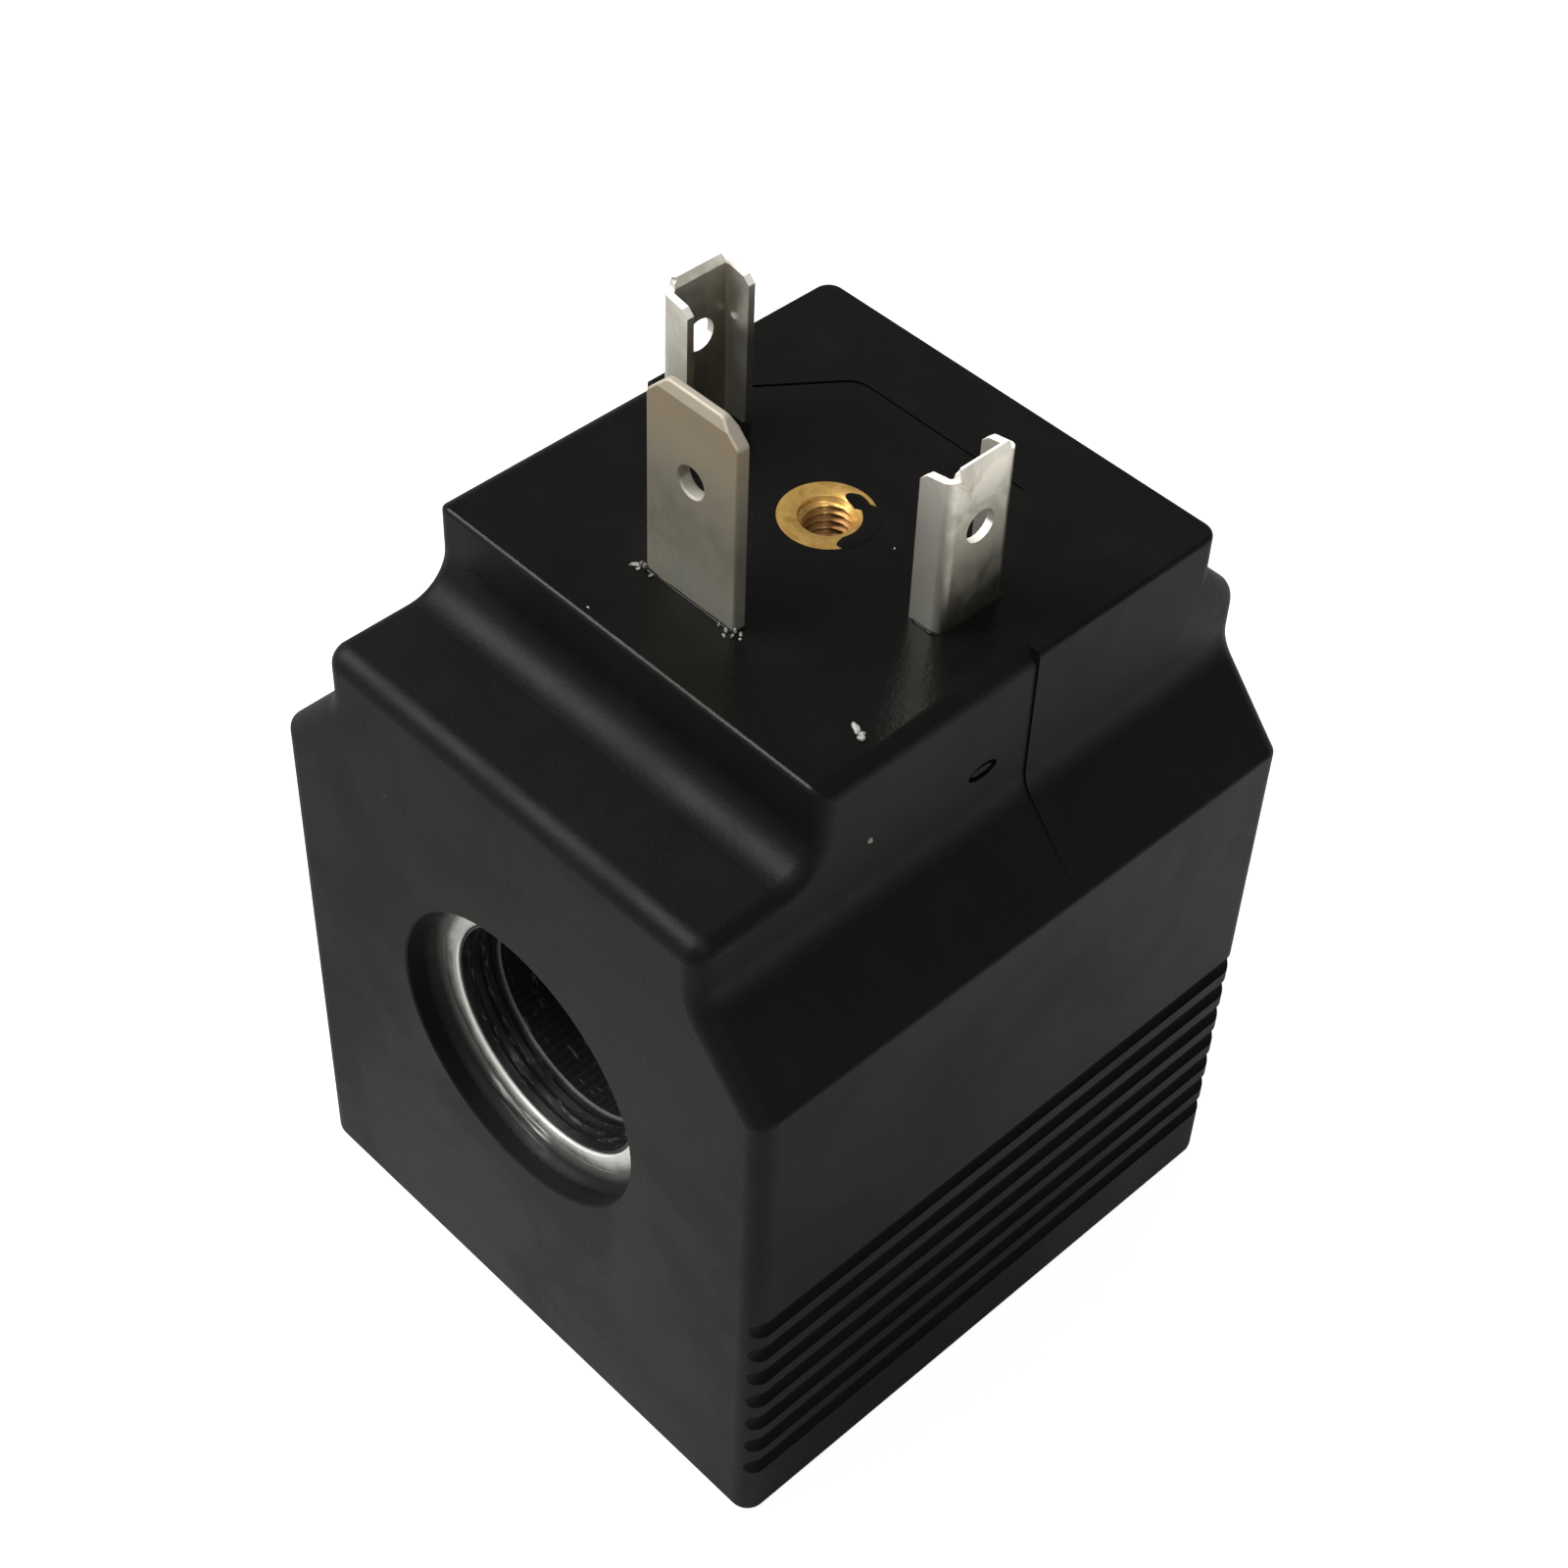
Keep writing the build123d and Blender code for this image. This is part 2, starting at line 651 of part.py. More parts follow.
def carrier_block():
    """The carrier's full outline, from the steel bridge up to the plug base's face."""
    front = base_centre_y - carrier_front
    rear = base_centre_y + carrier_rear
    corner_y = rear - carrier_corner_y
    corner_x = carrier_half_width - carrier_corner_x
    corners = mirrored([(carrier_half_width, front), (carrier_half_width, corner_y), (corner_x, rear)])
    rounded = []
    for side in (-1, 1):
        rounded.append(((side * carrier_half_width, corner_y), carrier_corner_radius))
        rounded.append(((side * corner_x, rear), carrier_corner_radius))
    return prism_along_z(corners, bridge_top, plug_base_height, rounded)


def carrier_seam(block):
    """Fine gap that the carrier leaves to the jacket along its rear edge and its left rear corner."""
    moved = Pos(carrier_seam_side_gap, -carrier_seam_rear_gap, 0) * block
    corner_y = base_centre_y + carrier_rear - carrier_corner_y
    straight_end_x = carrier_half_width - carrier_corner_x - carrier_corner_radius
    window = box_between(
        (-carrier_half_width, corner_y, plug_base_height - carrier_seam_depth),
        (straight_end_x, base_rear_y, plug_base_height + overrun),
    )
    return (block - moved) & window


def make_terminal_carrier(block, held_pieces):
    """Moulded block round the contacts and the insert."""
    screw_radius = insert_hole_radius + insert_mouth_chamfer
    screw_hole = rod_upright(screw_radius, 0, base_centre_y, insert_bottom, plug_base_height)
    return largest_solid(block - carrier_seam(block) - held_pieces - screw_hole)


def make_casing(inner_pieces):
    """Resin jacket over everything else, open only at the bore and flush with the carrier."""
    casing = jacket_outside() - side_grooves() - gate_mark() - face_recesses()
    return largest_solid(casing - inner_pieces)


def make_pieces():
    """Every piece of the coil, by the name of its node."""
    rivet = make_ground_rivet()
    right = make_line_terminal()
    left = largest_solid(mirror(right, about=Plane.YZ))
    ground = make_ground_terminal(rivet)
    insert = make_thread_insert()
    block = carrier_block()
    start_lead = make_lead(1, spool_radius + wire_radius)
    finish_lead = make_lead(-1, winding_radius - wire_radius)
    pieces = {
        "bobbin": make_bobbin(),
        "winding": make_winding(),
        "winding_tape": make_winding_tape(),
        "yoke_frame": make_yoke_frame(),
        "yoke_bridge": make_yoke_bridge(rivet),
        "ground_rivet": rivet,
        "ground_terminal": ground,
        "line_terminal_left": left,
        "line_terminal_right": right,
        "thread_insert": insert,
        "start_lead": start_lead,
        "finish_lead": finish_lead,
        "start_sleeve": make_sleeve(1),
        "finish_sleeve": make_sleeve(-1),
    }
    joints = [make_solder(1, start_lead, right), make_solder(-1, finish_lead, left)]
    casing = make_casing([block, *joints, *pieces.values()])
    pieces["solder_joints"] = Compound(children=joints)
    pieces["terminal_carrier"] = make_terminal_carrier(block, [right, left, ground, rivet, insert])
    pieces["casing"] = casing
    return pieces


if __name__ == "__main__":
    os.makedirs("parts", exist_ok=True)
    for node_name, piece in make_pieces().items():
        export_step(piece, "parts/" + node_name + ".step")
        print(node_name, len(piece.solids()), round(piece.volume, 1))
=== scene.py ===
# %% [markdown]
# # A solenoid valve coil
# The real object is a copper winding on a plastic bobbin, closed in a steel circuit and cast into black
# resin. A square plug base with three tinned contacts and a brass bush stands on top, and a bore runs
# right through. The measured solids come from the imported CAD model. This file gives them their finishes,
# adds the small forms that a mould and a press leave behind, and sets up a plain studio around them.

# %% Load the measured model
import math

import bpy
import numpy as np
from mathutils import Matrix, Vector


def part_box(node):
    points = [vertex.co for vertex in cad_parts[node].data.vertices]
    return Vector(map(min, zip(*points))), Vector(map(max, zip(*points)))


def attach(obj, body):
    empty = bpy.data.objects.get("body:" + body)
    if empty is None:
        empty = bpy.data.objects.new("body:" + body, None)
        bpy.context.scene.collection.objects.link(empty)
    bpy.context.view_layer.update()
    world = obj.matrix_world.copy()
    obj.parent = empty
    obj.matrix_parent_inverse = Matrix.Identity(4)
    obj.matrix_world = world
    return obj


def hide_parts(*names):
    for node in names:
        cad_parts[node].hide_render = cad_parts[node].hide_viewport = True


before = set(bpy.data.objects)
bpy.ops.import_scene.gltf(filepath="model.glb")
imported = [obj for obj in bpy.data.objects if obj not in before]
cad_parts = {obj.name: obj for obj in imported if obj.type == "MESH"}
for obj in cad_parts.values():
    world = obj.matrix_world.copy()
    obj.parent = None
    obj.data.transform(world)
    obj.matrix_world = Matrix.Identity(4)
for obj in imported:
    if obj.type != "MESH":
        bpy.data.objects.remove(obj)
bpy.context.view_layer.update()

MM = 0.001

# %% [markdown]
# ## Camera
# The photo looks down at the block's right front corner, with a little roll. Its place was worked out
# from the block's corners. It could be aimed with a tracking constraint, but a rotation made from two
# angles and a roll is plain to read, so the camera's three axes are written out and put into one matrix.

# %% Camera
VIEW_AZIMUTH = math.radians(44.35)
VIEW_ELEVATION = math.radians(46.07)
VIEW_ROLL = math.radians(2.57)
VIEW_DISTANCE = 119.85 * MM
VIEW_TARGET = Vector((19.09, -19.27, 59.70)) * MM
LENS_MM = 67.30


def place_camera():
    """Three axes from two angles and a roll: one points back from the target, one right, one up."""
    back = Vector((math.sin(VIEW_AZIMUTH) * math.cos(VIEW_ELEVATION),
                   -math.cos(VIEW_AZIMUTH) * math.cos(VIEW_ELEVATION), math.sin(VIEW_ELEVATION)))
    level = Vector((math.cos(VIEW_AZIMUTH), math.sin(VIEW_AZIMUTH), 0.0))
    upward = back.cross(level)
    right = level * math.cos(VIEW_ROLL) + upward * math.sin(VIEW_ROLL)
    up = upward * math.cos(VIEW_ROLL) - level * math.sin(VIEW_ROLL)
    camera = bpy.data.objects.new("camera", bpy.data.cameras.new("camera"))
    camera.data.lens = LENS_MM
    camera.data.clip_start = 0.005
    turn = Matrix((right, up, back)).transposed().to_4x4()
    camera.matrix_world = Matrix.Translation(VIEW_TARGET + back * VIEW_DISTANCE) @ turn
    bpy.context.scene.collection.objects.link(camera)
    bpy.context.scene.camera = camera
    return camera


camera = place_camera()
print("camera stands at", [round(v, 4) for v in camera.matrix_world.translation])

# %% [markdown]
# ## Putting numpy surfaces into meshes
# Every new piece below is worked out as whole arrays: a grid of points that is a function of two
# parameters. These helpers turn such a grid into a mesh. They can close the grid round in either
# direction, so that a revolved form has no seam, and they can do many grids of one size at once.

# %% Grid to mesh
scene_collection = bpy.context.scene.collection


def grid_faces(rows, columns, wrap_rows, wrap_columns):
    """Corner numbers of each four-sided face of a grid, with the last row or column joined to the first."""
    row = np.arange(rows if wrap_rows else rows - 1)
    column = np.arange(columns if wrap_columns else columns - 1)
    row, column = np.meshgrid(row, column, indexing="ij")
    next_row, next_column = (row + 1) % rows, (column + 1) % columns
    corners = (row * columns + column, next_row * columns + column,
               next_row * columns + next_column, row * columns + next_column)
    return np.stack(corners, axis=-1).reshape(-1, 4)


def mesh_piece(name, points_mm, faces, material, slot, sharp_above=35.0):
    """A mesh object at the origin with its place in its points, smooth but for edges above an angle."""
    mesh = bpy.data.meshes.new(name)
    mesh.from_pydata((points_mm.reshape(-1, 3) * MM).tolist(), [], faces)
    mesh.polygons.foreach_set("use_smooth", np.ones(len(mesh.polygons), dtype=bool))
    mesh.update()
    mesh.set_sharp_from_angle(angle=math.radians(sharp_above))
    mesh.materials.append(material)
    piece = bpy.data.objects.new(name, mesh)
    scene_collection.objects.link(piece)
    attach(piece, "root")
    print(name, "has", len(mesh.polygons), "faces")
    return piece


def sine_noise(angle, seed, amount, slowest=2, waves=5):
    """An uneven edge that closes on itself: a sum of whole-numbered sine waves with random phases."""
    chance = np.random.default_rng(seed)
    total = np.zeros_like(angle)
    for number in range(slowest, slowest + waves):
        total = total + np.sin(number * angle + chance.uniform(0, 2 * np.pi)) / number
    return total * amount


# %% [markdown]
# ## Shader groups
# Some effects turn up in more than one finish. A moulded or rolled skin has a fine grain, a handled
# surface has cloudy smudges in its gloss, anything on a bench carries a little dust, sheet metal is
# brushed one way, and a turned face carries rings. Each could be painted into every material by hand, but
# a node group with named inputs is built once and then tuned per material.

# %% Helpers for node trees
def node(tree, kind, settings=None, **values):
    """A node with its settings and its plain input values."""
    made = tree.nodes.new(kind)
    for key, value in (settings or {}).items():
        setattr(made, key, value)
    for key, value in values.items():
        made.inputs[key.replace("_", " ")].default_value = value
    return made


def ramp(tree, source, low, high):
    """Turns a value into 0 at low and 1 at high."""
    smooth = {"interpolation_type": "SMOOTHSTEP"}
    made = node(tree, "ShaderNodeMapRange", smooth, From_Min=low, From_Max=high)
    tree.links.new(source, made.inputs["Value"])
    return made.outputs["Result"]


def math_node(tree, operation, first, second=0.0):
    """One sum on two sockets or numbers."""
    made = node(tree, "ShaderNodeMath", {"operation": operation})
    for socket, value in zip(made.inputs, (first, second)):
        if isinstance(value, (int, float)):
            socket.default_value = value
        else:
            tree.links.new(value, socket)
    return made.outputs[0]


def times(tree, first, second):
    """The product of two sockets or numbers."""
    return math_node(tree, "MULTIPLY", first, second)


def split_axes(tree, source):
    """The X, Y and Z of a vector socket."""
    made = node(tree, "ShaderNodeSeparateXYZ")
    tree.links.new(source, made.inputs[0])
    return made.outputs


def mix_colour(tree, factor, first, second, blend="MIX"):
    """Two colours blended by a factor socket."""
    made = node(tree, "ShaderNodeMix", {"data_type": "RGBA", "blend_type": blend})
    tree.links.new(factor, made.inputs[0])
    for socket, value in ((made.inputs[6], first), (made.inputs[7], second)):
        if isinstance(value, tuple):
            socket.default_value = (*value, 1.0)
        else:
            tree.links.new(value, socket)
    return made.outputs[2]


def new_group(name, inputs, outputs):
    """An empty shader group with a place to read and float or vector inputs and outputs."""
    group = bpy.data.node_groups.new(name, "ShaderNodeTree")
    group.interface.new_socket(name="Place", in_out="INPUT", socket_type="NodeSocketVector")
    for label, value in inputs:
        socket = group.interface.new_socket(name=label, in_out="INPUT", socket_type="NodeSocketFloat")
        socket.default_value = value
    for label in outputs:
        group.interface.new_socket(name=label, in_out="OUTPUT", socket_type="NodeSocketFloat")
    return group, group.nodes.new("NodeGroupInput"), group.nodes.new("NodeGroupOutput")


# %% [markdown]
# ## Grain and smudge
# A moulded skin is never quite flat, and its gloss is never quite even. A picture could hold both, but
# noise in the object's own coordinates has no seam and stays sharp from close by. Grain puts out a height
# for the bump, and smudge puts out a roughness that wanders between a clean value and a smeared one.

# %% Grain and smudge
def build_grain():
    """Height of a fine skin: quick noise for the grain and slow noise for the waviness under it."""
    group, start, end = new_group(
        "grain", [("Grain Size", 4000.0), ("Wave Size", 260.0), ("Wave Share", 0.4)], ["Height"])
    fine = node(group, "ShaderNodeTexNoise", Detail=3.0, Roughness=0.6)
    slow = node(group, "ShaderNodeTexNoise", Detail=2.0, Roughness=0.5)
    for noise, size in ((fine, "Grain Size"), (slow, "Wave Size")):
        group.links.new(start.outputs["Place"], noise.inputs["Vector"])
        group.links.new(start.outputs[size], noise.inputs["Scale"])
    waves = times(group, slow.outputs["Fac"], start.outputs["Wave Share"])
    group.links.new(math_node(group, "ADD", fine.outputs["Fac"], waves), end.inputs["Height"])
    return group


def build_smudge():
    """Roughness between two values, in soft clouds as left by fingers and by the mould's release agent."""
    group, start, end = new_group(
        "smudge", [("Cloud Size", 160.0), ("Clean", 0.35), ("Smeared", 0.5)], ["Roughness", "Mask"])
    clouds = node(group, "ShaderNodeTexNoise", Detail=4.0, Roughness=0.62, Distortion=0.8)
    group.links.new(start.outputs["Place"], clouds.inputs["Vector"])
    group.links.new(start.outputs["Cloud Size"], clouds.inputs["Scale"])
    mask = ramp(group, clouds.outputs["Fac"], 0.38, 0.66)
    span = math_node(group, "SUBTRACT", start.outputs["Smeared"], start.outputs["Clean"])
    rough = math_node(group, "ADD", times(group, mask, span), start.outputs["Clean"])
    group.links.new(rough, end.inputs["Roughness"])
    group.links.new(mask, end.inputs["Mask"])
    return group


GRAIN, SMUDGE = build_grain(), build_smudge()
print("shader groups:", GRAIN.name, SMUDGE.name)

# %% [markdown]
# ## Dust, brushing and turning
# Dust is sparse, so most cells of a cell pattern stay empty and a few get a small round speck. Brushing
# is a noise drawn out along the sheet. Turning is a noise that changes with the distance from an axis and
# hardly at all round it, as a tool leaves it. It puts the distance out too, since several finishes change
# with it.

# %% Dust, brushing and turning
def build_dust():
    """Mask of sparse specks: cells whose random number is high get a small round spot at their middle."""
    group, start, end = new_group(
        "dust", [("Cell Size", 900.0), ("Speck", 0.12), ("Rarity", 0.93)], ["Mask"])
    cells = node(group, "ShaderNodeTexVoronoi")
    group.links.new(start.outputs["Place"], cells.inputs["Vector"])
    group.links.new(start.outputs["Cell Size"], cells.inputs["Scale"])
    near = math_node(group, "LESS_THAN", cells.outputs["Distance"], start.outputs["Speck"])
    channels = node(group, "ShaderNodeSeparateColor")
    group.links.new(cells.outputs["Color"], channels.inputs[0])
    chosen = math_node(group, "GREATER_THAN", channels.outputs[0], start.outputs["Rarity"])
    group.links.new(times(group, near, chosen), end.inputs["Mask"])
    return group


def build_brushing():
    """Height of fine parallel scratches along Z: a noise squeezed to a small share of its length there."""
    group, start, end = new_group("brushing", [("Line Size", 6000.0)], ["Height"])
    squeeze = node(group, "ShaderNodeMapping", Scale=(1.0, 1.0, 0.04))
    lines = node(group, "ShaderNodeTexNoise", Detail=3.0, Roughness=0.6)
    group.links.new(start.outputs["Place"], squeeze.inputs["Vector"])
    group.links.new(squeeze.outputs["Vector"], lines.inputs["Vector"])
    group.links.new(start.outputs["Line Size"], lines.inputs["Scale"])
    group.links.new(lines.outputs["Fac"], end.inputs["Height"])
    return group


def build_turning():
    """Rings round Z: noise read at (cosine, sine, scaled radius), so it runs round with no seam."""
    group, start, end = new_group(
        "turning", [("Ring Size", 5000.0), ("Round Size", 1.0)], ["Height", "Radius"])
    parts = split_axes(group, start.outputs["Place"])
    squares = [math_node(group, "POWER", parts[axis], 2.0) for axis in ("X", "Y")]
    radius = math_node(group, "POWER", math_node(group, "ADD", *squares), 0.5)
    safe = math_node(group, "MAXIMUM", radius, 0.00001)
    ring = node(group, "ShaderNodeCombineXYZ")
    for axis in ("X", "Y"):
        share = math_node(group, "DIVIDE", parts[axis], safe)
        group.links.new(times(group, share, start.outputs["Round Size"]), ring.inputs[axis])
    group.links.new(times(group, radius, start.outputs["Ring Size"]), ring.inputs["Z"])
    noise = node(group, "ShaderNodeTexNoise", Scale=1.0, Detail=3.0, Roughness=0.65)
    group.links.new(ring.outputs[0], noise.inputs["Vector"])
    group.links.new(noise.outputs["Fac"], end.inputs["Height"])
    group.links.new(radius, end.inputs["Radius"])
    return group


DUST, BRUSHING, TURNING = build_dust(), build_brushing(), build_turning()
print("shader groups:", DUST.name, BRUSHING.name, TURNING.name)

# %% [markdown]
# ## Starting a material
# Every finish begins alike: a shader with its plain values, and Object coordinates to hang patterns on.
# Steady values such as the specular level and the coat are set on the shader itself, because they don't
# change over the surface. What does change is fed in by the groups.

# %% Starting a material
def start_material(name, metallic=0.0, specular=0.5, coat=0.0):
    """A material with its shader, and Object coordinates to hang patterns on."""
    material = bpy.data.materials.new(name)
    material.use_nodes = True
    tree = material.node_tree
    shader = tree.nodes["Principled BSDF"]
    shader.inputs["Metallic"].default_value = metallic
    shader.inputs["Specular IOR Level"].default_value = specular
    shader.inputs["Coat Weight"].default_value = coat
    place = tree.nodes.new("ShaderNodeTexCoord").outputs["Object"]
    return material, tree, shader, place


def use_group(tree, group, place, **values):
    """Places a shared group in a material, with its own values."""
    made = tree.nodes.new("ShaderNodeGroup")
    made.node_tree = group
    tree.links.new(place, made.inputs["Place"])
    for key, value in values.items():
        made.inputs[key.replace("_", " ")].default_value = value
    return made


def set_bump(tree, shader, height, distance_mm):
    """Feeds a height into the shader's normal, with its real depth in millimetres."""
    bump = node(tree, "ShaderNodeBump", Distance=distance_mm * MM)
    tree.links.new(height, bump.inputs["Height"])
    tree.links.new(bump.outputs["Normal"], shader.inputs["Normal"])
    return bump


def moved_place(tree, place, location_mm=(0, 0, 0), turn_degrees=(0, 0, 0), scale=(1, 1, 1)):
    """Object coordinates, turned and moved so that a pattern sits on its own axis."""
    made = node(tree, "ShaderNodeMapping", Location=[v * MM for v in location_mm],
                Rotation=[math.radians(v) for v in turn_degrees], Scale=scale)
    tree.links.new(place, made.inputs["Vector"])
    return made.outputs["Vector"]


def spot(tree, place, centre_mm, radius_mm):
    """1 inside a small ball round a point, 0 outside."""
    away = node(tree, "ShaderNodeVectorMath", {"operation": "DISTANCE"})
    tree.links.new(place, away.inputs[0])
    away.inputs[1].default_value = [v * MM for v in centre_mm]
    return ramp(tree, away.outputs["Value"], radius_mm * MM, radius_mm * MM * 0.5)


# %% [markdown]
# ## Black resin
# The jacket and the contact carrier are moulded from glass-filled resin. It looks black, yet it is a very
# dark warm grey with a satin skin. Flow marks show as faint upright streaks on the walls, the grooves
# hold painted shade, and the plug base's face is smoother. One plain colour would look like paper. Here a
# stretched noise gives the streaks, the shared groups give grain and smudges, a mask made from the point's
# place paints shade into the grooves, and pale dust lies mostly on what faces up. Two chips on the front
# face are too thin to be pieces of their own, so they are small round spots.

# %% Black resin
casing_high = np.array(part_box("casing")[1]) / MM
SIDE_WALL_X, BASE_FACE_Z = casing_high[0], casing_high[2]
GROOVE_SHALLOW, GROOVE_DEEP = 0.08, 0.4
GROOVES_START_Z, GROOVES_FULL_Z = 19.6, 19.2
GROOVES_START_Y, GROOVES_FULL_Y = 18.5, 17.6
GLOSS_START_DEPTH, GLOSS_FULL_DEPTH, TOP_GLOSS = 0.18, 0.02, 0.28
DUST_SHARE = 0.22
FRONT_CHIPS = (((4.72, -19.15, 31.17), 0.16), ((18.2, -19.1, 10.87), 0.17))


def groove_shade_mask(tree, place):
    """Mask of painted shade in the grooves: 1 where a point lies below the side walls' faces at the height
    of the grooves, 0 elsewhere.
    """
    parts = split_axes(tree, place)
    outward = math_node(tree, "ABSOLUTE", parts["X"])
    below_face = ramp(tree, outward, (SIDE_WALL_X - GROOVE_SHALLOW) * MM, (SIDE_WALL_X - GROOVE_DEEP) * MM)
    low_enough = ramp(tree, parts["Z"], GROOVES_START_Z * MM, GROOVES_FULL_Z * MM)
    along = math_node(tree, "ABSOLUTE", parts["Y"])
    between_faces = ramp(tree, along, GROOVES_START_Y * MM, GROOVES_FULL_Y * MM)
    return times(tree, times(tree, below_face, low_enough), between_faces)


def surface_normal(tree):
    """The X, Y and Z of the way that a surface faces."""
    return split_axes(tree, tree.nodes.new("ShaderNodeNewGeometry").outputs["Normal"])


def make_resin(name, clean, smeared):
    """Dark warm skin with flow streaks, painted shade in the grooves, dust on what lies flat, and a
    smoother top.
    """
    material, tree, shader, place = start_material(name, specular=0.15)
    shader.inputs["Specular Tint"].default_value = (1.0, 0.965, 0.925, 1.0)
    smudge = use_group(tree, SMUDGE, place, Cloud_Size=95.0, Clean=clean, Smeared=smeared)
    stretch = moved_place(tree, place, scale=(1.0, 1.0, 0.12))
    streak = node(tree, "ShaderNodeTexNoise", Scale=300.0, Detail=3.0, Roughness=0.55)
    tree.links.new(stretch, streak.inputs["Vector"])
    skin = mix_colour(tree, ramp(tree, streak.outputs["Fac"], 0.42, 0.72),
                      (0.0033, 0.0032, 0.0031), (0.0052, 0.0047, 0.0043))
    # The near-black in the grooves is painted shade.
    body = mix_colour(tree, groove_shade_mask(tree, place), skin, (0.0008, 0.0008, 0.0008))
    dust = use_group(tree, DUST, place, Cell_Size=520.0, Speck=0.07, Rarity=0.982)
    lies_flat = times(tree, ramp(tree, surface_normal(tree)["Z"], -0.4, 0.9), DUST_SHARE)
    specks = times(tree, dust.outputs["Mask"], lies_flat)
    for centre, radius in FRONT_CHIPS:
        specks = math_node(tree, "MAXIMUM", specks, spot(tree, place, centre, radius))
    tree.links.new(mix_colour(tree, specks, body, (0.34, 0.32, 0.30)), shader.inputs["Base Color"])
    near_top = ramp(tree, split_axes(tree, place)["Z"], (BASE_FACE_Z - GLOSS_START_DEPTH) * MM,
                    (BASE_FACE_Z - GLOSS_FULL_DEPTH) * MM)
    rough = math_node(tree, "SUBTRACT", smudge.outputs["Roughness"], times(tree, near_top, TOP_GLOSS))
    tree.links.new(rough, shader.inputs["Roughness"])
    grain = use_group(tree, GRAIN, place, Grain_Size=3600.0, Wave_Size=150.0, Wave_Share=0.5)
    set_bump(tree, shader, grain.outputs["Height"], 0.022)
    return material


resin = make_resin("black_resin", clean=0.50, smeared=0.57)
carrier_resin = make_resin("carrier_resin", clean=0.48, smeared=0.56)
print("resin has", len(resin.node_tree.nodes), "nodes")

# %% [markdown]
# ## Tinned contacts
# The contacts are stamped from brass and tinned. Tin on brass is a warm grey with a silky, brushed gloss,
# greener towards the foot, and cloudy where it was handled. A plain metal colour would look like chrome, so
# two greys run from foot to tip, the lower one on the contacts also darker as painted shade near the base,
# with a band of painted shade between them; clouds lie across all three, and brushing runs up the sheet.
# Faces that turn up and folds that face forward are painted pale as painted highlights, and mirror less
# there.

# %% Tinned contacts
CONTACT_FOOT_Z, CONTACT_TIP_Z = 52.5, 61.2
SHADE_BAND_FROM_Z, SHADE_BAND_FULL_Z, SHADE_BAND_UNTIL_Z, SHADE_BAND_END_Z = 50.0, 53.0, 54.5, 59.5
SHADE_BAND_SHARE, STAIN_SHARE, BRUSH_SHARE, GRAIN_SHARE = 0.65, 0.5, 0.14, 0.7
STAIN, HIGHLIGHT_PALE = (0.27, 0.235, 0.175), (0.94, 0.92, 0.85)


def make_tin(name, warm, cool, dull, clean, smeared, top_highlight, front_highlight, metal):
    """Warm tin near the tip, cooler grey at the foot, a band of painted shade between, clouds across all
    three, and painted highlights on faces turned up and forward.
    """
    material, tree, shader, place = start_material(name)
    level = split_axes(tree, place)["Z"]
    height = ramp(tree, level, CONTACT_FOOT_Z * MM, CONTACT_TIP_Z * MM)
    smudge = use_group(tree, SMUDGE, place, Cloud_Size=420.0, Clean=clean, Smeared=smeared)
    above_foot = ramp(tree, level, SHADE_BAND_FROM_Z * MM, SHADE_BAND_FULL_Z * MM)
    below_tip = ramp(tree, level, SHADE_BAND_END_Z * MM, SHADE_BAND_UNTIL_Z * MM)
    # The band at mid height is painted shade. The cooler foot grey is a greener tone, and on the contacts
    # it is also painted shade near the base.
    mid_shade = times(tree, times(tree, above_foot, below_tip), SHADE_BAND_SHARE)
    colour = mix_colour(tree, mid_shade, mix_colour(tree, height, cool, warm), dull)
    stained = mix_colour(tree, times(tree, smudge.outputs["Mask"], STAIN_SHARE), colour, STAIN)
    facing = surface_normal(tree)
    # Painted highlight: faces turned up and forward are painted pale and mirror less.
    highlight_mask = times(tree, ramp(tree, facing["Z"], 0.12, 0.5), top_highlight)
    front_lit = times(tree, ramp(tree, facing["Y"], -0.5, -0.95), front_highlight)
    painted_highlight = math_node(tree, "MAXIMUM", highlight_mask, front_lit)
    tree.links.new(mix_colour(tree, painted_highlight, stained, HIGHLIGHT_PALE), shader.inputs["Base Color"])
    off_highlight = math_node(tree, "SUBTRACT", 1.0, painted_highlight)
    tree.links.new(times(tree, off_highlight, metal), shader.inputs["Metallic"])
    brushing = use_group(tree, BRUSHING, place, Line_Size=5200.0)
    lines = times(tree, brushing.outputs["Height"], BRUSH_SHARE)
    tree.links.new(math_node(tree, "ADD", smudge.outputs["Roughness"], lines), shader.inputs["Roughness"])
    grain = use_group(tree, GRAIN, place, Grain_Size=3800.0, Wave_Size=520.0, Wave_Share=1.0)
    fine = times(tree, grain.outputs["Height"], GRAIN_SHARE)
    set_bump(tree, shader, math_node(tree, "ADD", brushing.outputs["Height"], fine), 0.004)
    return material


blade_tin = make_tin(
    "blade_tin", (0.31, 0.25, 0.165), (0.31, 0.31, 0.26), (0.13, 0.125, 0.095),
    clean=0.56, smeared=0.66, top_highlight=0.28, front_highlight=0.0, metal=0.75)
contact_tin = make_tin(
    "contact_tin", (0.86, 0.82, 0.72), (0.40, 0.39, 0.33), (0.34, 0.33, 0.28),
    clean=0.27, smeared=0.38, top_highlight=1.0, front_highlight=0.28, metal=1.0)
print("contact finishes:", blade_tin.name, contact_tin.name)

# %% [markdown]
# ## Brass
# The screw bush is turned from bar, so its face shows fine rings, and the thread inside is painted darker
# with depth, as painted shade down in the hole. The rivet is the same brass, hammered. The rings come from
# the turning group on the bush's own axis.

# %% Brass
bush_low, bush_high = (np.array(corner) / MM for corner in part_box("thread_insert"))
BUSH_X, BUSH_Y = (bush_low[:2] + bush_high[:2]) / 2
BUSH_RADIUS = (bush_high[0] - bush_low[0]) / 2
FACE_Z = bush_high[2]
HOLE_SHADE_START, TARNISH_SHARE = 0.05, 0.8


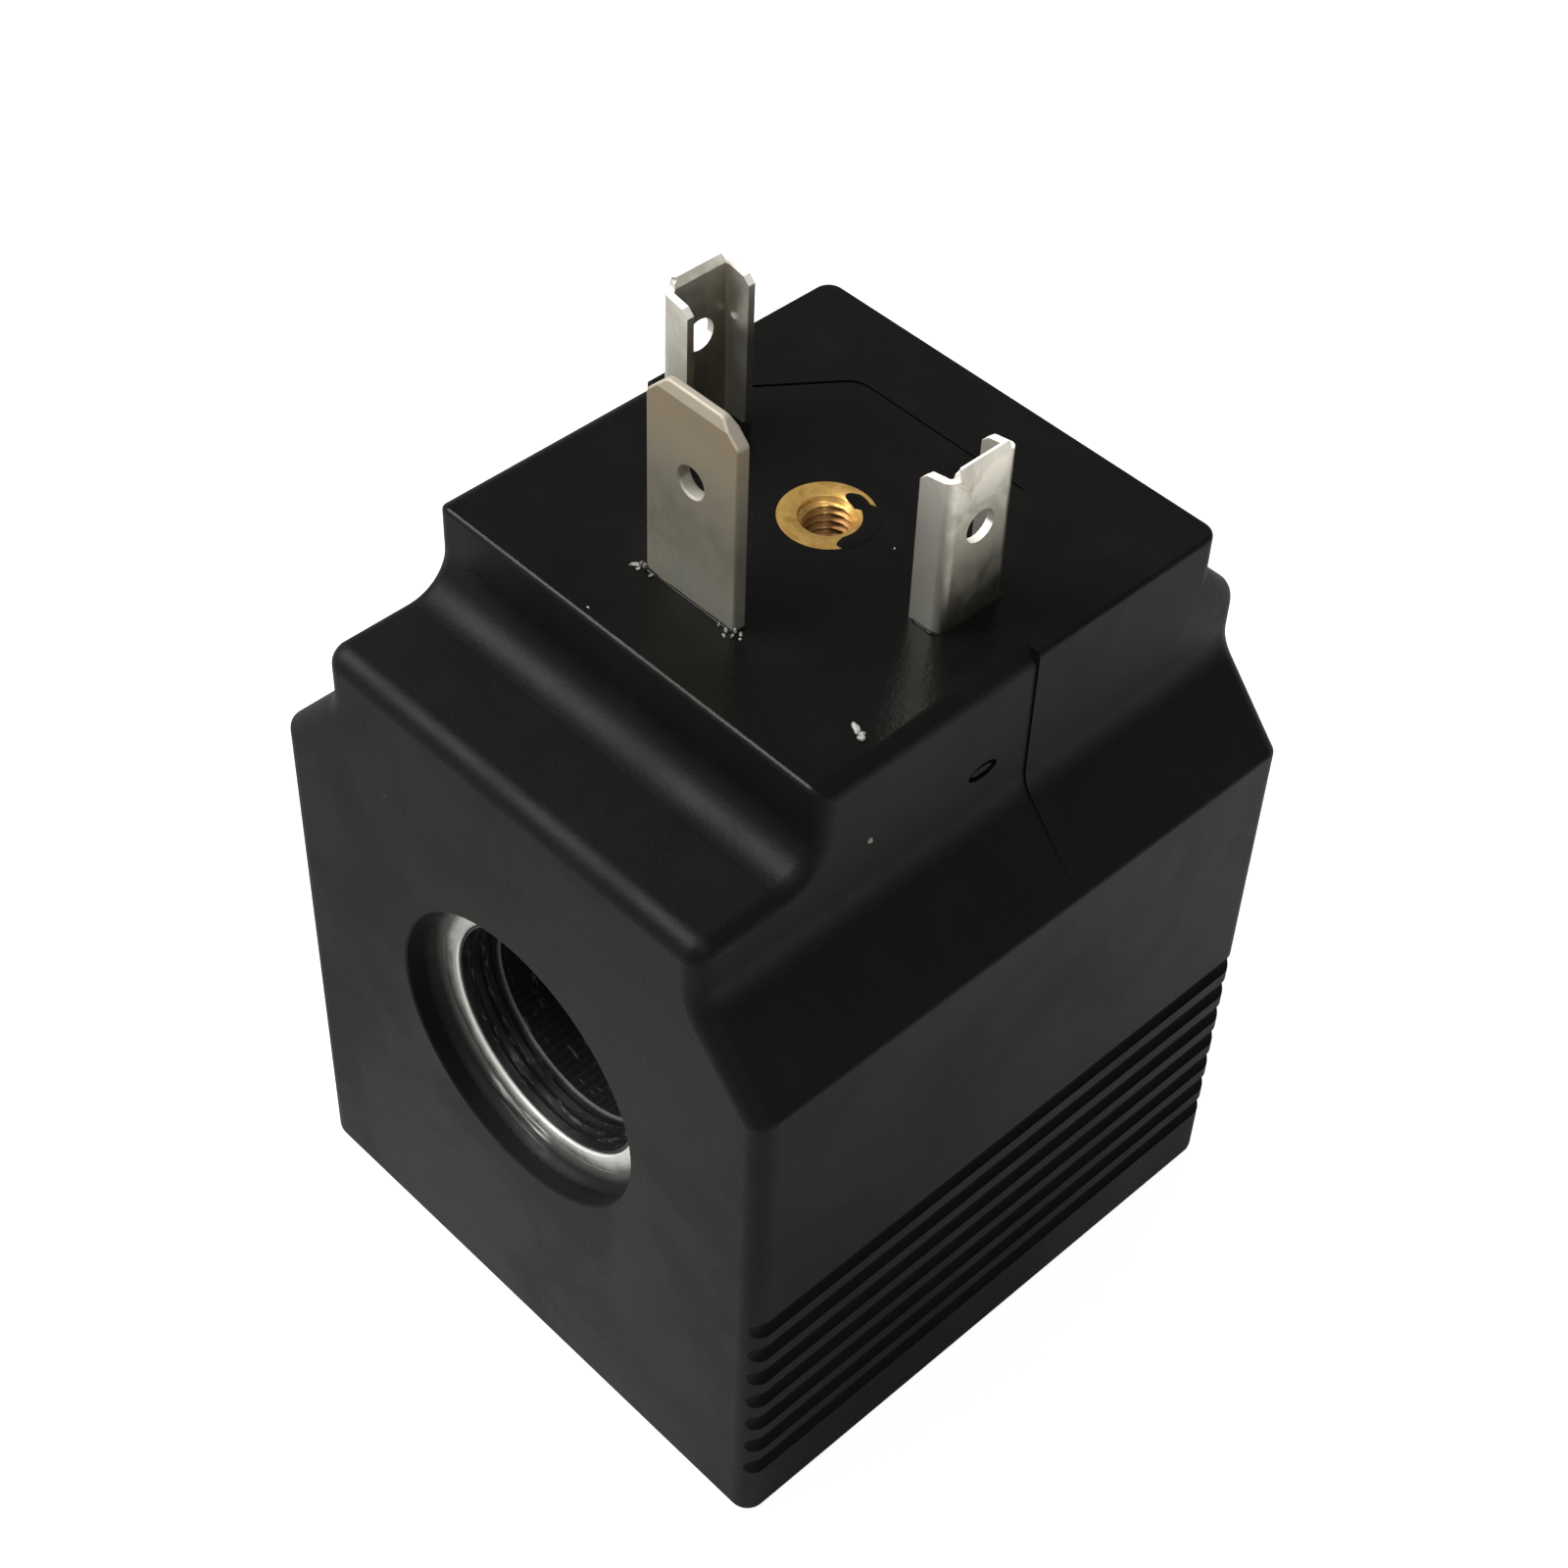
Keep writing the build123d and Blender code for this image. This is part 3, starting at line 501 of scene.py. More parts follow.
def make_brass(name, shade_depth_mm, rough):
    """Golden at the top and red-brown down in the hole as painted shade, with rings in the height and the
    gloss.
    """
    material, tree, shader, place = start_material(name, metallic=0.75)
    turned = use_group(tree, TURNING, moved_place(tree, place, (-BUSH_X, -BUSH_Y, 0)), Ring_Size=9000.0)
    level = split_axes(tree, place)["Z"]
    # Painted shade: the colour turns red-brown with depth below the face.
    hole_shade = ramp(tree, level, (FACE_Z - HOLE_SHADE_START) * MM, (FACE_Z - shade_depth_mm) * MM)
    smudge = use_group(tree, SMUDGE, place, Cloud_Size=900.0, Clean=rough, Smeared=rough + 0.16)
    tarnish = times(tree, smudge.outputs["Mask"], TARNISH_SHARE)
    gold = mix_colour(tree, tarnish, (0.80, 0.50, 0.145), (0.42, 0.235, 0.055))
    tree.links.new(mix_colour(tree, hole_shade, gold, (0.26, 0.125, 0.04)), shader.inputs["Base Color"])
    tree.links.new(smudge.outputs["Roughness"], shader.inputs["Roughness"])
    set_bump(tree, shader, turned.outputs["Height"], 0.014)
    return material


bush_brass = make_brass("bush_brass", shade_depth_mm=1.3, rough=0.32)
rivet_brass = make_brass("rivet_brass", shade_depth_mm=14.0, rough=0.34)
print("bush radius", round(BUSH_RADIUS, 3), "mm, face at", round(FACE_Z, 3), "mm")

# %% [markdown]
# ## Steel of the magnetic circuit
# Only a ring of it shows, at the bottom of each recess. It is zinc plated, with fine rings round the
# bore. Its inner edge is painted pale as a painted highlight, and further out it turns greyer. Both could
# be painted as masks, but they only follow the distance from the bore's axis, which the turning group
# already gives.

# %% Steel
bore_low, bore_high = (np.array(corner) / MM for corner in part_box("bobbin"))
BORE_Z = (bore_low[2] + bore_high[2]) / 2
DULL_FROM_RADIUS, DULL_FULL_RADIUS = 7.75, 8.25
PALE_FROM_RADIUS, PALE_FULL_RADIUS = 7.75, 7.4
RING_SHARE, PALE_SHARE = 0.6, 0.5


def make_steel(name):
    """Zinc in fine rings, painted paler at the bore's edge as a painted highlight, and greyer further out.
    """
    material, tree, shader, place = start_material(name, metallic=1.0)
    own = moved_place(tree, place, (0, -BORE_Z, 0), (-90, 0, 0))
    turned = use_group(tree, TURNING, own, Ring_Size=4200.0, Round_Size=2.2)
    smudge = use_group(tree, SMUDGE, place, Cloud_Size=380.0, Clean=0.36, Smeared=0.5)
    rings = times(tree, turned.outputs["Height"], RING_SHARE)
    zinc = mix_colour(tree, rings, (0.92, 0.91, 0.87), (0.66, 0.65, 0.60))
    dull = ramp(tree, turned.outputs["Radius"], DULL_FROM_RADIUS * MM, DULL_FULL_RADIUS * MM)
    tree.links.new(mix_colour(tree, dull, zinc, (0.42, 0.42, 0.40)), shader.inputs["Base Color"])
    # The pale inner edge is a painted highlight.
    pale_highlight = ramp(tree, turned.outputs["Radius"], PALE_FROM_RADIUS * MM, PALE_FULL_RADIUS * MM)
    pale = times(tree, pale_highlight, PALE_SHARE)
    tree.links.new(math_node(tree, "SUBTRACT", 1.0, pale), shader.inputs["Metallic"])
    tree.links.new(smudge.outputs["Roughness"], shader.inputs["Roughness"])
    set_bump(tree, shader, turned.outputs["Height"], 0.012)
    return material


zinc_steel = make_steel("zinc_steel")
print("bore axis stands", round(BORE_Z, 3), "mm up")

# %% [markdown]
# ## Bobbin nylon
# The cone at the bore's mouth is the bobbin's collar. It is black nylon with faint turned rings from its
# mould, and the tube has scuffed it, so short pale marks follow the rings. One thin ring is painted pale
# as a painted highlight. The rings run round the bore, and the scuffs are a noise that is long round the
# bore and short along it.

# %% Bobbin nylon
HIGHLIGHT_RING_RADIUS, HIGHLIGHT_RING_WIDTH = 6.43, 0.09
MARK_SHARE, HIGHLIGHT_RING_SHARE = 0.7, 0.9


def make_nylon(name):
    """Black nylon with short scuffs, and one ring painted pale as a painted highlight."""
    material, tree, shader, place = start_material(name, specular=0.3)
    across = node(tree, "ShaderNodeTexNoise", Scale=1.0, Detail=2.0, Roughness=0.6)
    tree.links.new(moved_place(tree, place, scale=(60.0, 2600.0, 60.0)), across.inputs["Vector"])
    marks = node(tree, "ShaderNodeTexNoise", Scale=1.0, Detail=4.0, Roughness=0.7)
    tree.links.new(moved_place(tree, place, scale=(420.0, 2400.0, 420.0)), marks.inputs["Vector"])
    turned = use_group(tree, TURNING, moved_place(tree, place, (0, -BORE_Z, 0), (-90, 0, 0)))
    from_ring = math_node(tree, "SUBTRACT", turned.outputs["Radius"], HIGHLIGHT_RING_RADIUS * MM)
    # Painted highlight: one thin pale ring at the cone's end.
    highlight_mask = ramp(tree, math_node(tree, "ABSOLUTE", from_ring), HIGHLIGHT_RING_WIDTH * MM, 0.3 * HIGHLIGHT_RING_WIDTH * MM)
    marked = times(tree, ramp(tree, marks.outputs["Fac"], 0.56, 0.72), MARK_SHARE)
    scuffs_and_highlight = math_node(tree, "MAXIMUM", marked, times(tree, highlight_mask, HIGHLIGHT_RING_SHARE))
    black, scuff_and_highlight_grey = (0.008, 0.008, 0.009), (0.16, 0.16, 0.15)
    tree.links.new(mix_colour(tree, scuffs_and_highlight, black, scuff_and_highlight_grey), shader.inputs["Base Color"])
    smudge = use_group(tree, SMUDGE, place, Cloud_Size=300.0, Clean=0.28, Smeared=0.42)
    tree.links.new(smudge.outputs["Roughness"], shader.inputs["Roughness"])
    set_bump(tree, shader, math_node(tree, "ADD", across.outputs["Fac"], scuffs_and_highlight), 0.02)
    return material


nylon = make_nylon("bobbin_nylon")
print("nylon has", len(nylon.node_tree.nodes), "nodes")

# %% [markdown]
# ## Finishes inside
# The winding, its tape, the leads, their sleeves and the solder are all closed in, but they are part of
# the object and show when it is opened. Wave textures give the wires their even pitch and the sleeve its
# braid.

# %% Copper wire
WIRE_PITCH_MM = 0.6
WAVES_PER_METRE = 20 / (2 * math.pi)
TINNED_FROM_Z, TINNED_FULL_Z = 43.2, 43.5


def make_winding_copper(name):
    """Enamelled wire side by side: a wave along the bore with one crest for each turn."""
    material, tree, shader, place = start_material(name, metallic=1.0, coat=0.6)
    shader.inputs["Coat Roughness"].default_value = 0.12
    turns = node(tree, "ShaderNodeTexWave", {"bands_direction": "Y"}, Distortion=0.15,
                 Scale=1 / (WIRE_PITCH_MM * MM * WAVES_PER_METRE))
    tree.links.new(place, turns.inputs["Vector"])
    smudge = use_group(tree, SMUDGE, place, Cloud_Size=220.0, Clean=0.22, Smeared=0.34)
    enamel = mix_colour(tree, smudge.outputs["Mask"], (0.62, 0.24, 0.08), (0.50, 0.17, 0.05))
    # The dark colour in the troughs between crests is painted shade between the wires.
    shaded = mix_colour(tree, turns.outputs["Fac"], (0.10, 0.03, 0.01), enamel)
    tree.links.new(shaded, shader.inputs["Base Color"])
    tree.links.new(smudge.outputs["Roughness"], shader.inputs["Roughness"])
    set_bump(tree, shader, turns.outputs["Fac"], 0.15)
    return material


def make_lead_copper(name):
    """Enamelled wire with its end dipped in tin, a little uneven where the tin stopped."""
    material, tree, shader, place = start_material(name, metallic=1.0, coat=0.4)
    edge = node(tree, "ShaderNodeTexNoise", Scale=1500.0, Detail=2.0)
    tree.links.new(place, edge.inputs["Vector"])
    level = math_node(tree, "ADD", split_axes(tree, place)["Z"], times(tree, edge.outputs["Fac"], 0.5 * MM))
    tinned = ramp(tree, level, TINNED_FROM_Z * MM, TINNED_FULL_Z * MM)
    enamel = mix_colour(tree, edge.outputs["Fac"], (0.60, 0.22, 0.07), (0.46, 0.15, 0.05))
    tree.links.new(mix_colour(tree, tinned, enamel, (0.66, 0.65, 0.62)), shader.inputs["Base Color"])
    smudge = use_group(tree, SMUDGE, place, Cloud_Size=800.0, Clean=0.2, Smeared=0.34)
    tree.links.new(smudge.outputs["Roughness"], shader.inputs["Roughness"])
    grain = use_group(tree, GRAIN, place, Grain_Size=6000.0, Wave_Size=1500.0)
    set_bump(tree, shader, grain.outputs["Height"], 0.01)
    return material


winding_copper, lead_copper = make_winding_copper("winding_copper"), make_lead_copper("lead_copper")
print("wires:", winding_copper.name, lead_copper.name)

# %% [markdown]
# ## Tape, sleeve and solder
# The winding is wrapped in amber polyester film, each lead has a sleeve of woven glass, and a bead of
# solder joins it to its contact. The braid could be modelled thread by thread, but it is hidden and fine,
# so two sets of slanting waves stand in for its strands, and the higher one shows at each point.

# %% Tape, sleeve and solder
STRIP_WIDTH_MM, STRAND_PITCH_MM = 9.0, 0.35
FLUX_SHARE = 0.35


def make_tape(name):
    """Amber film wound in overlapping strips: a sawtooth along the bore gives each strip its lap."""
    material, tree, shader, place = start_material(name, specular=0.6, coat=0.5)
    laps = node(tree, "ShaderNodeTexWave", {"bands_direction": "Y", "wave_profile": "SAW"},
                Scale=1 / (STRIP_WIDTH_MM * MM * WAVES_PER_METRE), Distortion=0.3, Detail=1.0)
    tree.links.new(place, laps.inputs["Vector"])
    grain = use_group(tree, GRAIN, place, Grain_Size=700.0, Wave_Size=180.0, Wave_Share=1.2)
    tone = mix_colour(tree, laps.outputs["Fac"], (0.50, 0.30, 0.05), (0.72, 0.50, 0.12))
    tree.links.new(mix_colour(tree, grain.outputs["Height"], tone, (0.60, 0.38, 0.08), "MULTIPLY"),
                   shader.inputs["Base Color"])
    smudge = use_group(tree, SMUDGE, place, Cloud_Size=200.0, Clean=0.18, Smeared=0.34)
    tree.links.new(smudge.outputs["Roughness"], shader.inputs["Roughness"])
    set_bump(tree, shader, math_node(tree, "ADD", laps.outputs["Fac"], grain.outputs["Height"]), 0.05)
    return material


def make_braid(name):
    """Woven glass sleeve: two sets of slanting waves, and the higher one shows at each point."""
    material, tree, shader, place = start_material(name, specular=0.3)
    strands = []
    for lean in (1.0, -1.0):
        strand = node(tree, "ShaderNodeTexWave", {"bands_direction": "DIAGONAL"},
                      Scale=1 / (STRAND_PITCH_MM * MM * WAVES_PER_METRE))
        tree.links.new(moved_place(tree, place, scale=(1.0, 1.0, lean)), strand.inputs["Vector"])
        strands.append(strand.outputs["Fac"])
    weave = math_node(tree, "MAXIMUM", *strands)
    dust = use_group(tree, DUST, place, Cell_Size=4000.0, Speck=0.3, Rarity=0.8)
    yarn = mix_colour(tree, weave, (0.34, 0.31, 0.24), (0.78, 0.75, 0.66))
    dusty = mix_colour(tree, dust.outputs["Mask"], yarn, (0.55, 0.48, 0.34))
    tree.links.new(dusty, shader.inputs["Base Color"])
    tree.links.new(ramp(tree, weave, 2.0, -0.6), shader.inputs["Roughness"])
    set_bump(tree, shader, weave, 0.05)
    return material


def make_solder(name):
    """Bright tin with frosty patches and a thin brown stain of flux."""
    material, tree, shader, place = start_material(name, metallic=1.0)
    smudge = use_group(tree, SMUDGE, place, Cloud_Size=1300.0, Clean=0.14, Smeared=0.42)
    flux = use_group(tree, SMUDGE, moved_place(tree, place, (3, 1, 2)), Cloud_Size=700.0)
    stain = times(tree, flux.outputs["Mask"], FLUX_SHARE)
    bright_tin, flux_brown = (0.74, 0.74, 0.72), (0.45, 0.30, 0.12)
    tree.links.new(mix_colour(tree, stain, bright_tin, flux_brown), shader.inputs["Base Color"])
    tree.links.new(smudge.outputs["Roughness"], shader.inputs["Roughness"])
    grain = use_group(tree, GRAIN, place, Grain_Size=2600.0, Wave_Size=900.0, Wave_Share=1.0)
    set_bump(tree, shader, grain.outputs["Height"], 0.02)
    return material


tape, braid, solder = make_tape("tape_film"), make_braid("sleeve_braid"), make_solder("solder_tin")
print("inner finishes:", tape.name, braid.name, solder.name)

# %% [markdown]
# ## Finishes on the measured solids
# Each measured solid is already a mesh object with its own name. A finish could be picked by hand for
# each, but a table from name to material keeps the choice in one place. The meshes themselves are left as
# they came.

# %% Put the finishes on the measured solids
FINISH = {
    "casing": resin, "terminal_carrier": carrier_resin,
    "thread_insert": bush_brass, "ground_rivet": rivet_brass,
    "ground_terminal": blade_tin, "line_terminal_left": contact_tin, "line_terminal_right": contact_tin,
    "bobbin": nylon, "winding": winding_copper, "winding_tape": tape, "start_lead": lead_copper,
    "finish_lead": lead_copper, "start_sleeve": braid, "finish_sleeve": braid, "solder_joints": solder,
    "yoke_frame": zinc_steel, "yoke_bridge": zinc_steel,
}
for name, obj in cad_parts.items():
    obj.data.materials.clear()
    obj.data.materials.append(FINISH[name])
print("finished solids:", len(FINISH))

# %% [markdown]
# ## The bush with its thread
# The solid has the plain core hole. The real bush has an M3 thread, whose crests catch the light down in
# the hole, so a bush with a cut thread takes its place. It could be modelled with a screw modifier. Here
# one closed profile is turned round the axis, and the rows inside the hole breathe in and out along a
# helix.

# %% Threaded bush
THREAD_PITCH, THREAD_DEPTH, CORE_RADIUS = 0.5, 0.28, 1.25
THREAD_SLOPE, THREAD_FLAT = 1.25, 0.12
MOUTH_DEPTH, MOUTH_EDGE, GROOVE_DEPTH, GROOVE_WIDTH = 0.3, 0.04, 0.35, 0.9
ROWS_PER_PITCH, COLUMNS_ROUND = 12, 96


def threaded_bush():
    """Radius in the hole = core + depth times a wave of (height / pitch + angle / full turn).

    The wave is a triangle with its tips cut flat, and it fades out at the hole's foot.
    """
    low, high = bush_low[2], bush_high[2]
    groove_top, groove_foot = (low + high + GROOVE_WIDTH) / 2, (low + high - GROOVE_WIDTH) / 2
    root, groove_radius = CORE_RADIUS + THREAD_DEPTH, BUSH_RADIUS - GROOVE_DEPTH
    hole_z = np.arange(low + MOUTH_EDGE, high - MOUTH_DEPTH, THREAD_PITCH / ROWS_PER_PITCH)
    outside = np.array([
        (root, high - MOUTH_EDGE), (root + MOUTH_EDGE, high), (BUSH_RADIUS, high),
        (BUSH_RADIUS, groove_top), (groove_radius, groove_top),
        (groove_radius, groove_foot), (BUSH_RADIUS, groove_foot),
        (BUSH_RADIUS, low), (root, low)])
    angle = np.linspace(0, 2 * np.pi, COLUMNS_ROUND, endpoint=False)
    turn = hole_z[:, None] / THREAD_PITCH + angle[None, :] / (2 * np.pi)
    triangle = 1 - np.abs(2 * (turn % 1.0) - 1)
    wave = np.clip(triangle * THREAD_SLOPE - THREAD_FLAT, 0, 1)
    fade = np.clip((hole_z - low) / THREAD_PITCH, 0, 1)[:, None]
    hole_radius = CORE_RADIUS + THREAD_DEPTH * wave * fade
    outer_radius = np.repeat(outside[:, :1], angle.size, axis=1)
    radius = np.concatenate([hole_radius, outer_radius])
    level = np.concatenate([hole_z, outside[:, 1]])
    height = np.repeat(level[:, None], angle.size, axis=1)
    points = np.stack([BUSH_X + radius * np.cos(angle), BUSH_Y + radius * np.sin(angle), height], axis=-1)
    faces = grid_faces(points.shape[0], angle.size, True, True)
    return points, faces.tolist()


bush = mesh_piece("threaded_bush", *threaded_bush(), bush_brass, "brass", sharp_above=50.0)
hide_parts("thread_insert")

# %% [markdown]
# ## Resin that crept over the bush
# The resin is cast hot and thin, so a tongue of it lies over the bush's right side and ends in a finger.
# It could be sculpted. Here it is a closed strip: a lens-shaped section carried along an arc, with an
# uneven edge from a sum of sine waves, so that its outline can be tuned by a few radii and angles.

# %% Film over the bush
FILM_START, FILM_END, FINGER_FROM = math.radians(-33), math.radians(106), math.radians(58)
FILM_INNER, FILM_OUTER, FILM_HEIGHT = 1.80, 2.78, 0.055
FINGER_INNER_SHIFT, FINGER_OUTER_SHIFT = 0.34, 0.42
START_ARC, TIP_ARC, BEND_ARC = math.radians(14), math.radians(16), math.radians(12)
INNER_WANDER, OUTER_WANDER = 0.05, 0.04


def bush_film():
    """Section between an inner and an outer radius; the finger at the end narrows to a round tip."""
    angle = np.linspace(FILM_START, FILM_END, 90)
    start = np.sqrt(np.clip((angle - FILM_START) / START_ARC, 0, 1))
    tip = np.sqrt(np.clip((FILM_END - angle) / TIP_ARC, 0, 1))
    finger = np.clip((angle - FINGER_FROM) / BEND_ARC, 0, 1)
    finger = finger * finger * (3 - 2 * finger)
    inner = FILM_INNER + sine_noise(angle, 3, INNER_WANDER, slowest=4) - FINGER_INNER_SHIFT * finger
    outer = FILM_OUTER + sine_noise(angle, 5, OUTER_WANDER, slowest=6) - FINGER_OUTER_SHIFT * finger
    middle, half = (inner + outer) / 2, (outer - inner) / 2 * start * tip
    section = np.linspace(0, 2 * np.pi, 20, endpoint=False)
    reach = middle[:, None] + half[:, None] * np.cos(section)
    height = FACE_Z + FILM_HEIGHT * np.sin(section)[None, :] * (start * tip)[:, None]
    across, along = reach * np.cos(angle)[:, None], reach * np.sin(angle)[:, None]
    points = np.stack([BUSH_X + across, BUSH_Y + along, height], axis=-1)
    faces = grid_faces(angle.size, section.size, False, True).tolist()
    last = reach.size - 1
    ends = [list(range(section.size)), list(range(last, last - section.size, -1))]
    return points, faces + ends


mesh_piece("bush_film", *bush_film(), carrier_resin, "black_resin", sharp_above=180.0)

# %% [markdown]
# ## Resin on the steel in both recesses
# The corner between the recess wall and the steel is filled by a round of resin that thins to a skin
# towards the bore. Steel shows through where it is thin, and low down one patch is painted pale as a
# painted highlight. A bevel on the solid would give the round but not the skin, so a section is turned
# round the bore, with its edge wandering by sine waves.

# %% Film on the steel in both recesses
RECESS_RADIUS, SKIN_RADIUS, FILM_THICKNESS, FILLET_RADIUS = 9.1, 8.22, 0.04, 0.9
SKIN_EDGE, OVERLAP, EDGE_WANDER, FILLET_WANDER = 0.06, 0.02, 0.12, 0.10
THIN_FROM_RADIUS, THIN_FULL_RADIUS = 8.85, 8.1
SMEAR_HIGHLIGHT_PLACE, SMEAR_HIGHLIGHT_RADIUS = (-2.3, -17.2, 15.9), 3.4
SMEAR_HIGHLIGHT_FROM_RADIUS, SMEAR_HIGHLIGHT_FULL_RADIUS = 8.95, 8.55
THIN_SHARE, SMEAR_HIGHLIGHT_SHARE = 0.38, 0.95
SMEAR_METAL, SMEAR_HIGHLIGHT_METAL_LOSS = 0.75, 0.65
steel_low, steel_high = (np.array(corner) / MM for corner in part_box("yoke_frame"))


def make_smear(name):
    """Resin drawn thin over steel, where the metal shows through, and a painted highlight of pale streaks
    that run round the bore.
    """
    material, tree, shader, place = start_material(name)
    own = moved_place(tree, place, (0, -BORE_Z, 0), (-90, 0, 0))
    turned = use_group(tree, TURNING, own, Ring_Size=2400.0, Round_Size=1.7)
    streaks = ramp(tree, turned.outputs["Height"], 0.34, 0.62)
    radius = turned.outputs["Radius"]
    near_bore = ramp(tree, radius, THIN_FROM_RADIUS * MM, THIN_FULL_RADIUS * MM)
    thin = times(tree, near_bore, THIN_SHARE)
    # Painted highlight: a patch of pale streaks low on the fillet.
    near_steel = ramp(tree, radius, SMEAR_HIGHLIGHT_FROM_RADIUS * MM, SMEAR_HIGHLIGHT_FULL_RADIUS * MM)
    patch = times(tree, spot(tree, place, SMEAR_HIGHLIGHT_PLACE, SMEAR_HIGHLIGHT_RADIUS), near_steel)
    pale_highlight = times(tree, patch, streaks)
    thin_and_highlight = math_node(tree, "MAXIMUM", thin, times(tree, pale_highlight, SMEAR_HIGHLIGHT_SHARE))
    dark_film, steel_and_highlight = (0.012, 0.012, 0.012), (0.55, 0.54, 0.51)
    tree.links.new(mix_colour(tree, thin_and_highlight, dark_film, steel_and_highlight), shader.inputs["Base Color"])
    metal = math_node(tree, "SUBTRACT", SMEAR_METAL, times(tree, pale_highlight, SMEAR_HIGHLIGHT_METAL_LOSS))
    tree.links.new(metal, shader.inputs["Metallic"])
    smudge = use_group(tree, SMUDGE, place, Cloud_Size=700.0, Clean=0.50, Smeared=0.62)
    tree.links.new(smudge.outputs["Roughness"], shader.inputs["Roughness"])
    set_bump(tree, shader, turned.outputs["Height"], 0.012)
    return material


def recess_film(face_y, outwards, seed):
    """A thin skin from a wandering inner edge, then a quarter circle that rises to the recess wall."""
    angle = np.linspace(0, 2 * np.pi, 240, endpoint=False)
    flat = np.zeros_like(angle)
    inner = SKIN_RADIUS + sine_noise(angle, seed, EDGE_WANDER, waves=9)
    rise = FILLET_RADIUS + sine_noise(angle, seed + 20, FILLET_WANDER, waves=7)
    bend = np.linspace(0, np.pi / 2, 9)
    behind = flat + RECESS_RADIUS + OVERLAP
    reach = [inner, inner + SKIN_EDGE] + [RECESS_RADIUS - rise + rise * np.sin(turn) for turn in bend]
    reach += [behind, behind, inner + SKIN_EDGE]
    lift = [flat, flat + FILM_THICKNESS] + [FILM_THICKNESS + rise * (1 - np.cos(turn)) for turn in bend]
    lift += [FILM_THICKNESS + rise, flat - OVERLAP, flat - OVERLAP]
    radius, depth = np.stack(reach, axis=1), face_y + outwards * np.stack(lift, axis=1)
    across, height = radius * np.cos(angle)[:, None], BORE_Z + radius * np.sin(angle)[:, None]
    points = np.stack([across, depth, height], axis=-1)
    faces = grid_faces(angle.size, radius.shape[1], True, True)
    return points, (faces[:, ::-1] if outwards < 0 else faces).tolist()


smear = make_smear("resin_smear")
mesh_piece("front_recess_film", *recess_film(steel_low[1], -1, 11), smear, "black_resin", sharp_above=60.0)
mesh_piece("rear_recess_film", *recess_film(steel_high[1], 1, 12), smear, "black_resin", sharp_above=60.0)

# %% [markdown]
# ## Collars round the feet of the contacts
# Where each contact leaves the base, the resin creeps up a little and sets as a low, ragged bead. A curve
# with a round bevel could make it, but the width should change along the way, so a small section is
# carried round the contact's outline and scaled by sine waves as it goes.

# %% Collars round the feet of the contacts
COLLAR_SET, COLLAR_WIDTH, COLLAR_HEIGHT, COLLAR_WANDER = 0.04, 0.10, 0.07, 0.8
BLADE_CORNER, CONTACT_CORNER = 0.1, 0.6


def foot_collar(centre, half_sizes, corner, seed):
    """A low bead swept round a rounded rectangle. Its width and height change a little along the way."""
    arc = np.linspace(0, np.pi / 2, 7)
    turns = np.concatenate([arc + quarter * np.pi / 2 for quarter in range(4)])
    signs = np.repeat(np.array([(1, 1), (-1, 1), (-1, -1), (1, -1)]), arc.size, axis=0)
    outward = np.stack([np.cos(turns), np.sin(turns)], axis=-1)
    line = signs * (np.array(half_sizes) - corner) + outward * corner
    closed_line, closed_out = np.vstack([line, line[:1]]), np.vstack([outward, outward[:1]])
    run = np.concatenate([[0], np.cumsum(np.linalg.norm(np.diff(closed_line, axis=0), axis=1))])
    along = np.linspace(0, run[-1], 200, endpoint=False)
    place = np.stack([np.interp(along, run, closed_line[:, axis]) for axis in (0, 1)], axis=-1)
    out = np.stack([np.interp(along, run, closed_out[:, axis]) for axis in (0, 1)], axis=-1)
    ragged = 1 + sine_noise(along / run[-1] * 2 * np.pi, seed, COLLAR_WANDER, slowest=3, waves=12)
    section = np.linspace(0, 2 * np.pi, 12, endpoint=False)
    reach = COLLAR_SET + COLLAR_WIDTH * ragged[:, None] * np.cos(section)
    height = FACE_Z + COLLAR_HEIGHT * ragged[:, None] * np.sin(section)
    level = np.array(centre) + place[:, None, :] + out[:, None, :] * reach[..., None]
    points = np.concatenate([level, height[..., None]], axis=-1)
    return points, grid_faces(along.size, section.size, True, True).tolist()


blade_low, blade_high = (np.array(corner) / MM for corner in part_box("ground_terminal"))
BLADE_SHEET, CONTACT_WIDTH = 0.8, 4.6
blade_y = blade_low[1] + BLADE_SHEET / 2
blade_half = ((blade_high[0] - blade_low[0]) / 2, BLADE_SHEET / 2)
collar_sizes = {"earth_foot_collar": ((0.0, blade_y), blade_half, BLADE_CORNER, 21)}
for side in ("left", "right"):
    low, high = (np.array(corner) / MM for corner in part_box("line_terminal_" + side))
    centre = ((low[0] + high[0]) / 2, BUSH_Y)
    contact_half = ((high[0] - low[0]) / 2, CONTACT_WIDTH / 2)
    collar_sizes[side + "_foot_collar"] = (centre, contact_half, CONTACT_CORNER, 22)
for name, values in collar_sizes.items():
    mesh_piece(name, *foot_collar(*values), carrier_resin, "black_resin", sharp_above=180.0)

# %% [markdown]
# ## Chips and crumbs
# Torn flash sits in pale crumbs at the blade's two lower corners, and a few chips lie on the base and its
# wall. They could be scattered with geometry nodes, but there are fewer than twenty, each in a known
# place. One array holds all of them: each is a ball whose radius is pushed in and out by sine waves. The
# crumbs have few sides, so that they look torn, and the chips have more.

# %% Chips and crumbs
POLE_GAP = 0.12


